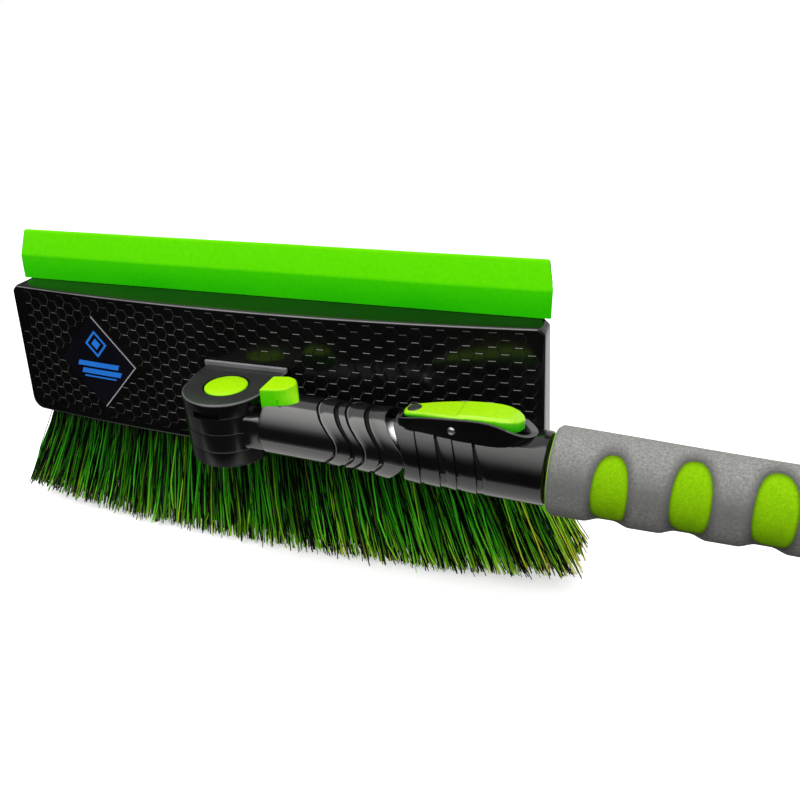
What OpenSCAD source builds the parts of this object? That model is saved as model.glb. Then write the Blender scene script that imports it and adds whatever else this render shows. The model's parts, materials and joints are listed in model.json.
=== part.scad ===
// Telescoping snow broom: pivoting brush head with a foam pusher, sliding pole, foam grips
// and an ice scraper at the far end. The head is drawn folded alongside the handle.
// Working frame: pivot axis along Z through the handle's axis, handle towards +X.

/* [Head] */
// Length of the head's cover along its top edge
head_len = 303; // [240:1:360]
// Offset of the middle of the head from the pivot
head_shift = 1.2; // [-5:0.1:5]
// Angle between the folded head and the handle
fold_angle = 3.44; // [0:0.01:6]
// Height of the cover's top edge above the handle's axis
cover_top = 46.7; // [40:0.1:55]
// Height of the cover's bottom edge above the handle's axis
cover_bottom = -30.7; // [-34:0.1:-26]
// How far the middle of the cover's face stands out beyond its ends
face_bow = 9.6; // [4:0.1:14]
// Distance from the pivot axis to the middle of the face, at the cover's bottom edge
face_low = 18.6; // [17:0.1:21]
// How far the face's top edge lies behind its bottom edge
face_lean = 5.4; // [0:0.1:8]
// How much wider each end of the cover is at the bottom than at the top
end_flare = 4.9; // [0:0.1:8]
// Wall of the cover
cover_wall = 2.6; // [2:0.1:3]
// Distance from the pivot axis to the cover's open rear edge
cover_back = 48; // [44:0.5:52]

/* [Foam pusher and brush] */
// Height of the foam pusher's tip above the handle's axis
foam_top = 73.2; // [68:0.1:80]
// Depth of the foam pusher at its base
foam_depth = 23; // [20:0.5:30]
// Height of the bristle tips above the handle's axis
bristle_tip = -101.5; // [-120:0.5:-80]
// Number of bristle rows
row_count = 4; // [4:1:4]
// Distance between bristle rows
row_pitch = 7.6; // [7:0.1:9]
// Depth of one bristle row
row_depth = 4.6; // [3:0.1:6]

/* [Pivot] */
// Radius of the round ears of the pivot bracket
ear_r = 22; // [21.5:0.1:23]
// Underside of the upper ear above the handle's axis
ear_gap_top = 9.0; // [8:0.1:10]
// Top side of the lower ear above the handle's axis
ear_gap_bottom = -9.7; // [-11:0.1:-9]
// Top of the upper ear
ear_top = 16.7; // [16:0.1:18]
// Bottom of the lower ear
ear_bottom = -18.9; // [-20:0.1:-18]

/* [Neck] */
// Radius of the neck housing
neck_r = 15.6; // [15:0.1:17]
// Travel of the release button
button_travel = 4; // [3:0.5:5]

/* [Pole and tube] */
// Outer radius of the sliding pole
pole_r = 11.1; // [10.8:0.1:11.2]
// Outer radius of the outer tube
tube_r = 12.7; // [12.5:0.1:13]
// Travel of the pole
pole_travel = 330; // [200:10:350]
// Distance from the pivot axis to the tip of the scraper blade, pole pushed in
closed_reach = 840; // [820:5:900]

/* [Grips] */
// Outer radius of the front grip at its ends
grip_r = 19.8; // [19:0.1:21]
// Outer radius of the front grip at its waist
waist_r = 18.2; // [17.6:0.1:19]
// Number of finger dents in the front grip
dent_count = 7; // [3:1:7]
// Distance between finger dents
dent_pitch = 30.5; // [28:0.5:31]

/* [Scraper] */
// Width of the scraper blade
blade_w = 100; // [80:1:120]
// Radius of the hanging hole
hang_r = 5; // [4:0.5:6]

/* [Hidden] */
$fn = 72;

black = [0.06, 0.06, 0.065];
gloss_black = [0.03, 0.03, 0.035];
green = [0.35, 0.85, 0.05];
lime = [0.62, 0.92, 0.05];
steel = [0.75, 0.76, 0.78];
grey_foam = [0.55, 0.57, 0.55];

far = 400;                 // longer than any cut needs
slack = 0.05;              // radial clearance of screws and fixed pins
run = 0.06;                // radial running clearance
cover_h = cover_top - cover_bottom;
half_len = head_len / 2;
lean = atan(face_lean / cover_h);
face_r = (half_len * half_len + face_bow * face_bow) / (2 * face_bow);

// Head details
corner_r = 7;              // bottom corners of the cover
top_chamfer = 3;           // top corners of the cover
badge_half_w = 26;
badge_half_h = 27;
badge_x = -97.7;
badge_z = 7.9;
badge_t = 1.2;
badge_sink = 0.9;
housing_half = half_len - 8;
housing_back = 68;
housing_low = -13;
housing_top = cover_top - 0.2;
housing_wall = 2.6;
boss_r = 6.2;              // posts for the long screws, open at the back
housing_lip = 3;           // how far the rear housing reaches into the cover
foam_front = 46;
foam_base = cover_top + 0.3;
foam_crease = 60.4;
foam_tip_w = 6.4;
foam_half = half_len - 1.2;
rib_y = foam_front + foam_depth / 2;
rib_t = 4;
rib_top = 64;
block_half = half_len - 5;
block_back = 66;
slot_depth = 8;            // how deep each bristle row sits in the block
row_front = 8;             // from the face to the first row
root_half = half_len - 8.5;
tip_half = half_len + 20;
cover_screw_at = [[-120, 30], [120, 30], [-120, 0], [120, 0], [-50, 35], [50, 35]];
block_screw_x = [-108, -50, 50, 108];
block_screw_y = 61.6;
bracket_screw_at = [[-19, 17], [19, 17], [-19, -6], [19, -6]];
plate_front = 25.6;
plate_back = 30;
plate_half = 27;
plate_low = -20.5;
plate_high = 23;
rim_front = 19.8;          // upright rim along the back of the upper ear
rim_top = 19.2;

// Pivot details
bolt_r = 3;
bolt_head_flats = 10;
bolt_head_h = 4;
nut_h = 3.2;
bush_r = 4.5;
cap_r = 10.9;
cap_low = 14.5;
cap_proud = 0.6;
nut_low = cap_low - nut_h;
notch_half_w = 7;          // detent notches in the upper ear's rim
notch_h = 3.6;
tongue_r = 21.7;
tongue_gap = 0.2;
relief_r = tongue_r + 0.6;
tongue_top = ear_gap_top - tongue_gap;
tongue_bottom = ear_gap_bottom + tongue_gap;

// Neck details
neck_start = 26.5;
neck_end = 94;             // on the axis; the end is cut on a slant
neck_slant = 20;
neck_back_r = 16.2;
pole_start = 52;
well_x = 31;               // middle of the button's well
button_left = 23.9;
button_right = 38.4;
button_half_w = 7.9;
button_top = 22;
button_low = 0;
well_floor = -8.5;
tooth_reach = 1.3;         // locking tooth on the button, drawn just clear of the ear
tooth_half_w = 3;
tooth_low = 9.6;
tooth_high = 12.2;
button_spring_r = 3.4;
spring_wire = 0.9;
neck_rivet_x = 72;
neck_rivet_top = 13;       // the rivet is blind: it goes in from below
neck_screw_at = [[46.5, 8.2], [46.5, -8.2], [-13.5, 0]];

// Pole, tube and collar details
pole_wall = 1.1;
tube_wall = 1.1;
tube_start = 126;
tube_end = 742;
pole_overlap = 120;
pole_end = tube_start + pole_travel + pole_overlap;
bush_len = 14;
lock_x = 100.5;            // where the lock pin meets the pole
lock_hole_pitch = 55;
collar_start = 98.6;       // on the axis; the face is cut on a slant
collar_slant = 8;
collar_end = 163.4;
collar_r = 16.6;
collar_bore = tube_r + slack;
collar_floor = 13.7;       // flat bed under the cradle
cradle_bed_end = 153.4;

// Lever details
lever_pivot_x = 121.5;
lever_pivot_z = 17.2;
lever_rivet_r = 1.5;
lever_spring_x = 143;
lever_tip_x = 152;
cradle_half_w = 10.4;
cradle_wall = 1.5;
cradle_floor_t = 0.9;
ledge_z = 16.4;            // ledge round the lever's rear end
cradle_end = 157.5;
collar_screw_x = 160.6;
collar_screw_r = 1.3;
collar_screw_tilt = 5;

// Grip details
grip_start = 164.8;
grip_end = 398;
grip_skin_t = 1.8;
grip_bore = tube_r + slack;
dent_first = 189.5;
dent_w = 15.6;
dent_middle_angle = -25;   // measured up from the side facing -Y
dent_half_angle = 84;
rear_grip_start = 560;
rear_grip_end = 688;
rear_grip_r = 17.8;

// Scraper details
socket_start = 690;
socket_end = 752;
socket_r = 16.5;
fan_end = 806;
blade_start = 782;
blade_t = 3;
hang_x = 764;
fan_t = 15;
lip_t = 9;
chip_count = 8;
scraper_screw_y = 26;
scraper_screw_x = 794;
pin_x = 720;

// The finished frame: middle of the box at the bristle tips
row_axis_y = face_low + face_r;
row_4_back_r = face_r - row_front - 3 * row_pitch - row_depth / 2;
left_tip_y = row_axis_y - sqrt(row_4_back_r * row_4_back_r - tip_half * tip_half);
x_low = (head_shift - tip_half) * cos(fold_angle) - left_tip_y * sin(fold_angle);
x_high = closed_reach;
y_low = -blade_w / 2;
y_high = (head_shift + foam_half) * sin(fold_angle) + (foam_front + foam_depth) * cos(fold_angle);

module framed() translate([-(x_low + x_high) / 2, -(y_low + y_high) / 2, -bristle_tip]) children();
module in_head() framed() rotate([0, 0, fold_angle]) children();
module along_x(x) translate([x, 0, 0]) rotate([0, 90, 0]) children();
module toward_y(x, y, z) translate([x, y, z]) rotate([-90, 0, 0]) children();
module box_between(a, b) translate(a) cube([for (i = [0:2]) b[i] - a[i]]);

function arc(cx, cy, r, a0, a1, steps) =
    [for (i = [0:steps]) let (a = a0 + (a1 - a0) * i / steps) [cx + r * cos(a), cy + r * sin(a)]];

// A hexagonal prism by its distance across flats
module hex_prism(flats, h) cylinder(r = flats / sqrt(3), h = h, $fn = 6);

// A pan-head screw along +Z, its head's top at z = 0
module screw(shank_r, length, head_r, head_h) {
    difference() {
        rotate_extrude()
            polygon([[0, -length], [shank_r * 0.4, -length], [shank_r, -length + 2], [shank_r, -head_h],
                     [head_r, -head_h], [head_r, -head_h * 0.45], [head_r * 0.6, 0], [0, 0]]);
        for (a = [0, 90])
            rotate([0, 0, a]) translate([-head_r * 0.55, -0.4, -head_h * 0.5]) cube([head_r * 1.1, 0.8, head_h]);
    }
}

// A coil spring along Z: one closed tube swept along a helix
module coil(r, wire_r, h, turns) {
    steps = 12;
    sides = 6;
    n = turns * steps;
    points = [for (i = [0:n], j = [0:sides - 1])
        let (a = 360 * i / steps, b = 360 * j / sides, reach = r + wire_r * cos(b))
        [reach * cos(a), reach * sin(a), wire_r + (h - 2 * wire_r) * i / n + wire_r * sin(b)]];
    walls = [for (i = [0:n - 1], j = [0:sides - 1])
        [i * sides + j, i * sides + (j + 1) % sides, (i + 1) * sides + (j + 1) % sides, (i + 1) * sides + j]];
    ends = [[for (j = [sides - 1:-1:0]) j], [for (j = [0:sides - 1]) n * sides + j]];
    polyhedron(points, concat(walls, ends), convexity = 10);
}

// ---------------------------------------------------------------- head

// The cover's outline from the front, drawn in by an inset
module cover_outline(inset) {
    top = half_len - inset;
    low = half_len + end_flare - inset;
    r = corner_r;
    c = top_chamfer;
    z0 = cover_bottom;
    z1 = cover_top - inset;
    polygon(concat(
        [[-top + c, z1], [-top, z1 - c]],
        arc(-low + r, z0 + r, r, 180, 270, 6),
        arc(low - r, z0 + r, r, 270, 360, 6),
        [[top, z1 - c], [top - c, z1]]));
}

// Everything behind the bowed, leaning face, moved back by an inset
module behind_face(inset) {
    spare = face_r * sin(lean) + 60;
    translate([0, face_low + face_r / cos(lean), cover_bottom])
        rotate([-lean, 0, 0])
            translate([0, 0, -spare]) cylinder(r = face_r - inset, h = cover_h + 2 * spare, $fn = 180);
}

module head_slab(inset, y_end) {
    intersection() {
        translate([0, y_end, 0]) rotate([90, 0, 0]) linear_extrude(y_end) cover_outline(inset);
        behind_face(inset);
    }
}

module cover_boss(x, z) {
    intersection() {
        toward_y(x, 15, z) cylinder(r = 4, h = cover_back - housing_lip - 15.2);
        behind_face(cover_wall / 2);
    }
}

module diamond(scale_by) {
    w = badge_half_w * scale_by;
    h = badge_half_h * scale_by;
    polygon([[-w, 0], [0, -h], [w, 0], [0, h]]);
}

// Places a plate flat on the face at the badge, its outer side at y = 0
module on_badge() {
    u = badge_x;
    slope = asin(u / face_r);
    y = face_low + face_r / cos(lean) - sqrt(face_r * face_r - u * u) / cos(lean)
        + (badge_z - cover_bottom) * tan(lean);
    translate([u, y, badge_z]) rotate([-lean, 0, slope]) children();
}

module head_cover() color(black) in_head() difference() {
    translate([head_shift, 0, 0]) union() {
        difference() {
            head_slab(0, cover_back);
            head_slab(cover_wall, cover_back + 1);
            box_between([-block_half - 0.2, 0, -far], [block_half + 0.2, far, cover_bottom + 6]);
        }
        intersection() {
            head_slab(0, cover_back - 10);
            difference() {
                box_between([-block_half - 1, 0, cover_bottom], [block_half + 1, far, cover_bottom + 7]);
                behind_face(cover_wall);
            }
        }
        for (p = cover_screw_at) cover_boss(p[0], p[1]);
    }
    box_between([-ear_r - 1.6, 0, ear_gap_top - 0.15], [ear_r + 1.6, plate_front, ear_top + 0.15]);
    box_between([-ear_r - 1.6, 0, ear_bottom - 0.15], [ear_r + 1.6, plate_front, ear_gap_bottom + 0.15]);
    translate([0, 0, ear_bottom]) cylinder(r = relief_r, h = ear_top - ear_bottom);
    for (p = cover_screw_at)
        toward_y(p[0] + head_shift, 30, p[1]) cylinder(r = 2 + slack, h = far);
    translate([head_shift, 0, 0]) on_badge()
        translate([0, badge_sink, 0]) rotate([90, 0, 0]) linear_extrude(20) diamond(1.01);
}

module badge() color(gloss_black) in_head() translate([head_shift, 0, 0]) on_badge()
    translate([0, badge_sink, 0]) rotate([90, 0, 0]) linear_extrude(badge_t) diamond(1);

// The rear housing's section: a box with rounded rear corners, drawn in by an inset
module housing_section(inset, front) {
    r = 6 - inset;
    y1 = housing_back - inset;
    z0 = housing_low + inset;
    z1 = housing_top - inset;
    polygon(concat([[front, z0]], arc(y1 - r, z0 + r, r, 270, 360, 6), arc(y1 - r, z1 - r, r, 0, 90, 6),
        [[front, z1]]));
}

module housing_slab(inset, front) rotate([90, 0, 90])
    translate([0, 0, -housing_half + inset]) linear_extrude(2 * (housing_half - inset))
        housing_section(inset, front);

module rear_housing() color(black) in_head() difference() {
    translate([head_shift, 0, 0]) union() {
        difference() {
            housing_slab(0, cover_back);
            housing_slab(housing_wall, cover_back - 1);
        }
        difference() {
            inner = half_len - cover_wall - 0.3;
            box_between([-inner + 3, cover_back - housing_lip, housing_low],
                        [inner - 3, cover_back, cover_top - cover_wall - 0.3]);
            box_between([-inner + 8, 0, housing_low + 5], [inner - 8, far, cover_top - cover_wall - 5]);
        }
        box_between([-foam_half + 8, rib_y - rib_t / 2, housing_top - 1],
                    [foam_half - 8, rib_y + rib_t / 2, rib_top]);
        for (p = cover_screw_at)
            toward_y(p[0], cover_back - housing_lip, p[1])
                cylinder(r = boss_r, h = housing_back - cover_back + housing_lip - 1);
        for (x = block_screw_x)
            translate([x, block_screw_y, housing_low]) cylinder(r = 4, h = 12);
        for (x = [-100, -40, 40, 100])
            box_between([x - 1, cover_back, housing_low + 1], [x + 1, housing_back - 1, housing_top - 1]);
        for (p = bracket_screw_at)
            toward_y(p[0] - head_shift, plate_back + 0.05, p[1])
                cylinder(r = boss_r, h = housing_back - plate_back - 1);
    }
    for (p = cover_screw_at) {
        toward_y(p[0] + head_shift, 0, p[1]) cylinder(r = 2 + slack, h = far);
        toward_y(p[0] + head_shift, cover_back, p[1]) cylinder(r = 4.2, h = far);
    }
    for (x = block_screw_x)
        translate([x + head_shift, block_screw_y, housing_low - 1]) cylinder(r = 2 + slack, h = 10);
    for (p = bracket_screw_at) {
        toward_y(p[0], 0, p[1]) cylinder(r = 2 + slack, h = far);
        toward_y(p[0], cover_back, p[1]) cylinder(r = 4.2, h = far);
    }
}

module cover_screws() color(steel) in_head() for (p = cover_screw_at)
    toward_y(p[0] + head_shift, cover_back + 2.4, p[1]) screw(2, 16, 3.9, 2.4);

// Upright ring slice that one bristle row fills, thick by row_depth plus a margin
module row_ring(i, z0, h, margin) translate([0, row_axis_y, z0]) difference() {
    middle = face_r - row_front - i * row_pitch;
    cylinder(r = middle + row_depth / 2 + margin, h = h, $fn = 180);
    translate([0, 0, -1]) cylinder(r = middle - row_depth / 2 - margin, h = h + 2, $fn = 180);
}

module brush_block() color(black) in_head() difference() {
    translate([head_shift, 0, 0]) difference() {
        intersection() {
            box_between([-block_half, 0, cover_bottom], [block_half, block_back, housing_low]);
            behind_face(cover_wall + 0.2);
        }
        for (i = [0:row_count - 1]) intersection() {
            row_ring(i, cover_bottom - 1, slot_depth + 1, 0.1);
            box_between([-root_half - 0.1, 0, -far], [root_half + 0.1, far, far]);
        }
    }
    for (x = block_screw_x) translate([x + head_shift, block_screw_y, cover_bottom - 1]) {
        cylinder(r = 2 + slack, h = far);
        cylinder(r = 4.1, h = 6);
    }
    box_between([-plate_half - 0.4, 0, plate_low - 0.3], [plate_half + 0.4, plate_back + 0.4, far]);
}

module block_screws() color(steel) in_head() for (x = block_screw_x)
    translate([x + head_shift, block_screw_y, cover_bottom + 5 - 2.4]) rotate([180, 0, 0])
        screw(2, 18, 3.8, 2.4);

// One row seen from the front: it leaves the block and fans out towards its ends
module bristle_row(i) color(i % 2 == 0 ? green : black) in_head() translate([head_shift, 0, 0]) {
    intersection() {
        row_ring(i, bristle_tip, cover_bottom + slot_depth - bristle_tip, 0);
        translate([0, far, 0]) rotate([90, 0, 0]) linear_extrude(far) polygon([
            [-root_half, cover_bottom + slot_depth], [-root_half, cover_bottom],
            [-tip_half, bristle_tip + 15], [-tip_half + 14, bristle_tip + 5], [-tip_half + 52, bristle_tip],
            [tip_half - 52, bristle_tip], [tip_half - 14, bristle_tip + 5], [tip_half, bristle_tip + 15],
            [root_half, cover_bottom], [root_half, cover_bottom + slot_depth]]);
    }
}

module foam_blade() color(green) in_head() translate([head_shift, 0, 0]) difference() {
    rotate([90, 0, 90]) translate([0, 0, -foam_half]) linear_extrude(2 * foam_half) polygon([
        [foam_front, foam_base], [foam_front + foam_depth, foam_base],
        [foam_front + foam_depth - 1.2, foam_crease - 3], [rib_y - foam_tip_w / 2 + 1.8, foam_top],
        [rib_y - foam_tip_w / 2 + 0.6, foam_top], [rib_y - foam_tip_w / 2, foam_top - 0.7],
        [foam_front + 1.2, foam_crease]]);
    box_between([-foam_half + 7.8, rib_y - rib_t / 2 - 0.1, 0],
                [foam_half - 7.8, rib_y + rib_t / 2 + 0.1, rib_top + 0.2]);
}

// ---------------------------------------------------------------- pivot

module ear(z0, z1, r0, r1) {
    translate([0, 0, z0]) cylinder(r1 = r0, r2 = r1, h = z1 - z0);
    box_between([-ear_r - 1.3, 0, z0], [ear_r + 1.3, plate_front + 1, z1]);
}

module pivot_bracket() color(black) in_head() difference() {
    union() {
        ear(ear_gap_top, ear_top, ear_r, ear_r);
        ear(ear_bottom, ear_gap_bottom, ear_r - 1.2, ear_r);
        box_between([-plate_half, plate_front, plate_low], [plate_half, plate_back, plate_high]);
        box_between([-ear_r - 1.3, rim_front, ear_top - 1], [ear_r + 1.3, rim_front + 1.7, rim_top]);
    }
    translate([0, 0, ear_bottom - 1]) cylinder(r = bolt_r + slack, h = far);
    translate([0, 0, ear_bottom - 1]) hex_prism(bolt_head_flats + 0.2, bolt_head_h + 1.6);
    translate([0, 0, cap_low]) cylinder(r = cap_r + 0.1, h = far);
    translate([0, 0, nut_low]) hex_prism(bolt_head_flats + 0.2, nut_h + 1);
    for (p = bracket_screw_at) toward_y(p[0], plate_front + 0.7, p[1]) cylinder(r = 2 + slack, h = far);
    for (a = [-fold_angle, -90, fold_angle - 180]) rotate([0, 0, a])
        box_between([ear_r - 3, -notch_half_w, ear_gap_top - 1],
                    [ear_r + 2, notch_half_w, ear_gap_top + notch_h]);
}

module bracket_screws() color(steel) in_head() for (p = bracket_screw_at)
    toward_y(p[0], cover_back + 2.3, p[1]) screw(2, 23.8, 3.9, 2.2);

module pivot_bolt() color(steel) in_head() {
    translate([0, 0, ear_bottom + 0.5]) hex_prism(bolt_head_flats, bolt_head_h);
    translate([0, 0, ear_bottom + 0.5]) cylinder(r = bolt_r, h = cap_low - ear_bottom - 0.6);
}

module pivot_nut() color(steel) in_head() translate([0, 0, nut_low + 0.05]) difference() {
    hex_prism(bolt_head_flats, nut_h - 0.1);
    translate([0, 0, -1]) cylinder(r = bolt_r + slack, h = nut_h + 2);
}

module pivot_cap() color(lime) in_head() translate([0, 0, cap_low]) rotate_extrude()
    polygon([[0, 0.05], [cap_r, 0.05], [cap_r, ear_top - cap_low], [cap_r - 0.9, ear_top - cap_low + cap_proud * 0.7],
             [cap_r * 0.55, ear_top - cap_low + cap_proud], [0, ear_top - cap_low + cap_proud]]);

// ---------------------------------------------------------------- neck

// Solid of the whole neck: eye, waist and round housing with ribbed rear half
module neck_solid() {
    difference() {
        union() {
            translate([0, 0, tongue_bottom]) cylinder(r = tongue_r, h = tongue_top - tongue_bottom);
            box_between([0, -14.6, tongue_bottom], [neck_start + 3, 14.6, tongue_top]);
            along_x(0) rotate_extrude() polygon([
                [0, neck_start], [neck_r - 2, neck_start], [neck_r, neck_start + 2.2], [neck_r, 50],
                [neck_r + 0.5, 52], [neck_r + 0.5, 65], [neck_r, 67], [neck_back_r, 69],
                [neck_back_r, 84], [neck_back_r - 0.4, 110], [0, 110]]);
        }
        translate([neck_end, 0, 0]) rotate([0, -neck_slant, 0]) translate([0, -30, -60]) cube([60, 60, 120]);
        translate([0, 0, -far / 2]) cylinder(r = bush_r + 0.02, h = far);
        along_x(pole_start) cylinder(r = pole_r + slack, h = far);
        translate([neck_rivet_x, 0, -far]) cylinder(r = 2 + slack, h = far + neck_rivet_top + 0.1);
        button_outline_cut(0.3, -0.8, 30);
        box_between([button_left - tooth_reach - 0.4, -tooth_half_w - 0.4, tooth_low - button_travel - 0.6],
                    [button_left + 1, tooth_half_w + 0.4, tooth_high + 1]);
        translate([well_x, 0, well_floor]) cylinder(r = button_spring_r + 1.1, h = 30);
        for (p = neck_screw_at) translate([p[0], p[1], 0]) {
            translate([0, 0, -8]) cylinder(r = 1.5 + slack, h = 14);
            translate([0, 0, -30]) cylinder(r = 2.9, h = 24);
        }
    }
}

module neck_upper_shell() color(black) framed() intersection() {
    neck_solid();
    box_between([-60, -60, 0], [200, 60, 60]);
}

module neck_lower_shell() color(black) framed() intersection() {
    neck_solid();
    box_between([-60, -60, -60], [200, 60, 0]);
}

module neck_screws() color(steel) framed() for (p = neck_screw_at)
    translate([p[0], p[1], -8.2]) rotate([180, 0, 0]) screw(1.5, 13.5, 2.7, 2.1);

module pivot_bush() color(steel) framed() difference() {
    translate([0, 0, tongue_bottom]) cylinder(r = bush_r, h = tongue_top - tongue_bottom);
    translate([0, 0, -far / 2]) cylinder(r = bolt_r + run, h = far);
}

// The button's outline from above: square towards the pivot, round towards the handle
module button_outline(margin) {
    w = button_half_w + margin;
    r = 6.6 + margin;
    x0 = button_left - margin;
    x1 = button_right + margin;
    polygon(concat([[x0, -w + 0.8]], arc(x1 - r, -w + r, r, 270, 360, 6),
                   arc(x1 - r, w - r, r, 0, 90, 6), [[x0, w - 0.8]]));
}

module button_outline_cut(margin, z0, z1) translate([0, 0, z0]) linear_extrude(z1 - z0)
    button_outline(margin);

module release_button() color(lime) framed() difference() {
    union() {
        button_outline_cut(0, button_low + button_travel + 0.3, button_top);
        box_between([button_left - tooth_reach, -tooth_half_w, tooth_low], [button_left + 1, tooth_half_w, tooth_high]);
    }
    translate([well_x, 0, -1]) cylinder(r = button_spring_r + 1, h = 7);
    box_between([button_left - 2, -far, button_top - 1.2], [button_left + 0.9, far, far]);
}

module button_spring() color(steel) framed() translate([well_x, 0, well_floor + 0.05])
    coil(button_spring_r, spring_wire / 2, 5.9 - well_floor, 6);

module inner_pole() color(steel) framed() difference() {
    along_x(pole_start) cylinder(r = pole_r, h = pole_end - pole_start);
    along_x(0) cylinder(r = pole_r - pole_wall, h = far * 3);
    translate([neck_rivet_x, 0, -far / 2]) cylinder(r = 2 + slack, h = far);
    for (i = [0:pole_travel / lock_hole_pitch])
        translate([lock_x + i * lock_hole_pitch, 0, 0]) cylinder(r = 2.6, h = 20);
}

module pole_rivet() color(steel) framed() translate([neck_rivet_x, 0, 0.4 - neck_r])
    cylinder(r = 2, h = neck_r - 0.4 + neck_rivet_top);

module pole_end_bush() color(black) framed() along_x(pole_end) difference() {
    union() {
        cylinder(r = tube_r - tube_wall - run, h = bush_len);
        translate([0, 0, -12]) cylinder(r = pole_r - pole_wall - slack, h = 12);
    }
    translate([0, 0, -20]) cylinder(r = 6, h = 60);
}

// ---------------------------------------------------------------- collar and lever

module clamp_collar() color(black) framed() difference() {
    along_x(0) rotate_extrude() polygon([
        [collar_bore, 90], [collar_r - 0.2, 90], [collar_r, collar_end - 1.5], [collar_r - 1.5, collar_end],
        [collar_bore, collar_end]]);
    translate([collar_start, 0, 0]) rotate([0, -collar_slant, 0]) translate([-60, -30, -60]) cube([60, 60, 120]);
    for (x = [107, 116, 124, 133]) along_x(x) difference() {
        cylinder(r = collar_r + 1, h = 1);
        translate([0, 0, -1]) cylinder(r = collar_r - 0.5, h = 3);
    }
    box_between([90, -cradle_half_w + 0.1, collar_floor], [cradle_bed_end, cradle_half_w - 0.1, 30]);
    translate([lock_x, 0, 0]) cylinder(r = 3.2, h = 30);
    translate([collar_screw_x, 0, 0]) rotate([-collar_screw_tilt, 0, 0])
        cylinder(r = collar_screw_r + slack, h = 30);
}

// Side view of the cradle: its rim follows the lever and dips round the lever's end
function cradle_side() = [
    [95, 13.8], [95, 16.4], [102, 18.3], [110, 20.2], [122, 21.6], [134, 21.6], [143, 19.6],
    [148, 17.4], [153, 16.7], [cradle_end - 1, 17.2], [cradle_end, 16.4], [cradle_end - 2, 13.6],
    [150, 11.6], [140, 10.6], [124, 10.6], [108, 12.0]];

// The cradle from above: a boat with a blunt nose and a round stern
module cradle_plan(inset) {
    w = cradle_half_w - inset;
    polygon(concat([[95 + inset, -5.6 + inset], [101, -7.2 + inset], [114, -w]],
        arc(cradle_end - inset - w, 0, w, 270, 450, 10),
        [[114, w], [101, 7.2 - inset], [95 + inset, 5.6 - inset]]));
}

module lever_cradle() color(gloss_black) framed() difference() {
    intersection() {
        translate([0, 30, 0]) rotate([90, 0, 0]) linear_extrude(60) polygon(cradle_side());
        linear_extrude(40) cradle_plan(0);
    }
    difference() {
        translate([0, 0, collar_floor + cradle_floor_t]) linear_extrude(30) cradle_plan(cradle_wall);
        box_between([lever_tip_x + 1.3, -20, 0], [200, 20, ledge_z]);
    }
    intersection() {
        along_x(80) cylinder(r = collar_r + 0.02, h = 100);
        box_between([80, -far, -far], [far, far, collar_floor + slack]);
    }
    along_x(cradle_bed_end - slack) cylinder(r = collar_r + 0.02, h = 100);
    translate([lock_x, 0, 0]) cylinder(r = 3.4, h = 30);
    translate([lever_pivot_x, 30, lever_pivot_z]) rotate([90, 0, 0]) cylinder(r = lever_rivet_r + slack, h = 60);
}

module lever_rivet() color(steel) framed() translate([lever_pivot_x, 0, lever_pivot_z]) rotate([90, 0, 0])
    translate([0, 0, -cradle_half_w - 1]) rotate_extrude() polygon([
        [0, -0.1], [1.3, 0.1], [2.2, 0.95], [lever_rivet_r, 0.95],
        [lever_rivet_r, 2 * cradle_half_w + 1.05], [2.2, 2 * cradle_half_w + 1.05],
        [1.3, 2 * cradle_half_w + 1.9], [0, 2 * cradle_half_w + 2.1]]);

module collar_bush() color(black) framed() difference() {
    along_x(collar_start + 1.6) cylinder(r = tube_r, h = tube_start - collar_start - 1.8);
    along_x(0) cylinder(r = pole_r + run, h = far);
    translate([lock_x, 0, 0]) cylinder(r = 3.2, h = 30);
}

module collar_screw() color(steel) framed() translate([collar_screw_x, 0, 0])
    rotate([-collar_screw_tilt, 0, 0]) translate([0, 0, tube_r + 0.1])
        cylinder(r = collar_screw_r, h = collar_r - tube_r - 0.6);

module lever_spring() color(steel) framed()
    translate([lever_spring_x, 0, collar_floor + cradle_floor_t + slack])
        coil(2.8, spring_wire / 2, 4.6, 4);

// The lever from above: narrow nose, wide thumb pad with a round end
module lever_plan(inset) {
    w = 8.5 - inset;
    polygon(concat(arc(99.4, 0, 4.2 - inset, 270, 90, 8), [[120, w]],
        arc(lever_tip_x - w - inset, 0, w, 90, -90, 10), [[120, -w]]));
}

function lever_side() = [
    [95, 17.0], [95, 19.2], [97, 19.8], [108, 21.5], [120, 23.0], [134, 24.2], [145, 24.3],
    [lever_tip_x - 2.6, 23.2], [lever_tip_x, 21.4], [lever_tip_x, 20.0], [146, 19.4], [134, 20.0], [120, 19.4], [106, 18.0]];

module lock_lever() color(lime) framed() difference() {
    union() {
        intersection() {
            translate([0, 30, 0]) rotate([90, 0, 0]) linear_extrude(60) polygon(lever_side());
            linear_extrude(40) lever_plan(0);
        }
        box_between([lever_pivot_x - 3.6, -7.2, 15.2], [lever_pivot_x + 3.6, 7.2, 21]);
    }
    translate([lever_pivot_x, 30, lever_pivot_z]) rotate([90, 0, 0]) cylinder(r = lever_rivet_r + run, h = 60);
    translate([lock_x, 0, 0]) cylinder(r = 2 + slack, h = 40);
    translate([lock_x, 0, 19.2]) cylinder(r = 3.1, h = 10);
}

module lock_pin() color(steel) framed() translate([lock_x, 0, 0]) {
    translate([0, 0, pole_r + 0.4]) cylinder(r = 2, h = 19.25 - pole_r - 0.4);
    translate([0, 0, 19.25]) cylinder(r = 3, h = 0.9);
}

// ---------------------------------------------------------------- handle

module outer_tube() color(gloss_black) framed() along_x(0) difference() {
    translate([0, 0, tube_start]) cylinder(r = tube_r, h = tube_end - tube_start);
    cylinder(r = tube_r - tube_wall, h = far * 3);
    translate([0, 0, pin_x]) rotate([90, 0, 0]) translate([0, 0, -30]) cylinder(r = 2 + slack, h = 60);
}

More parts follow.
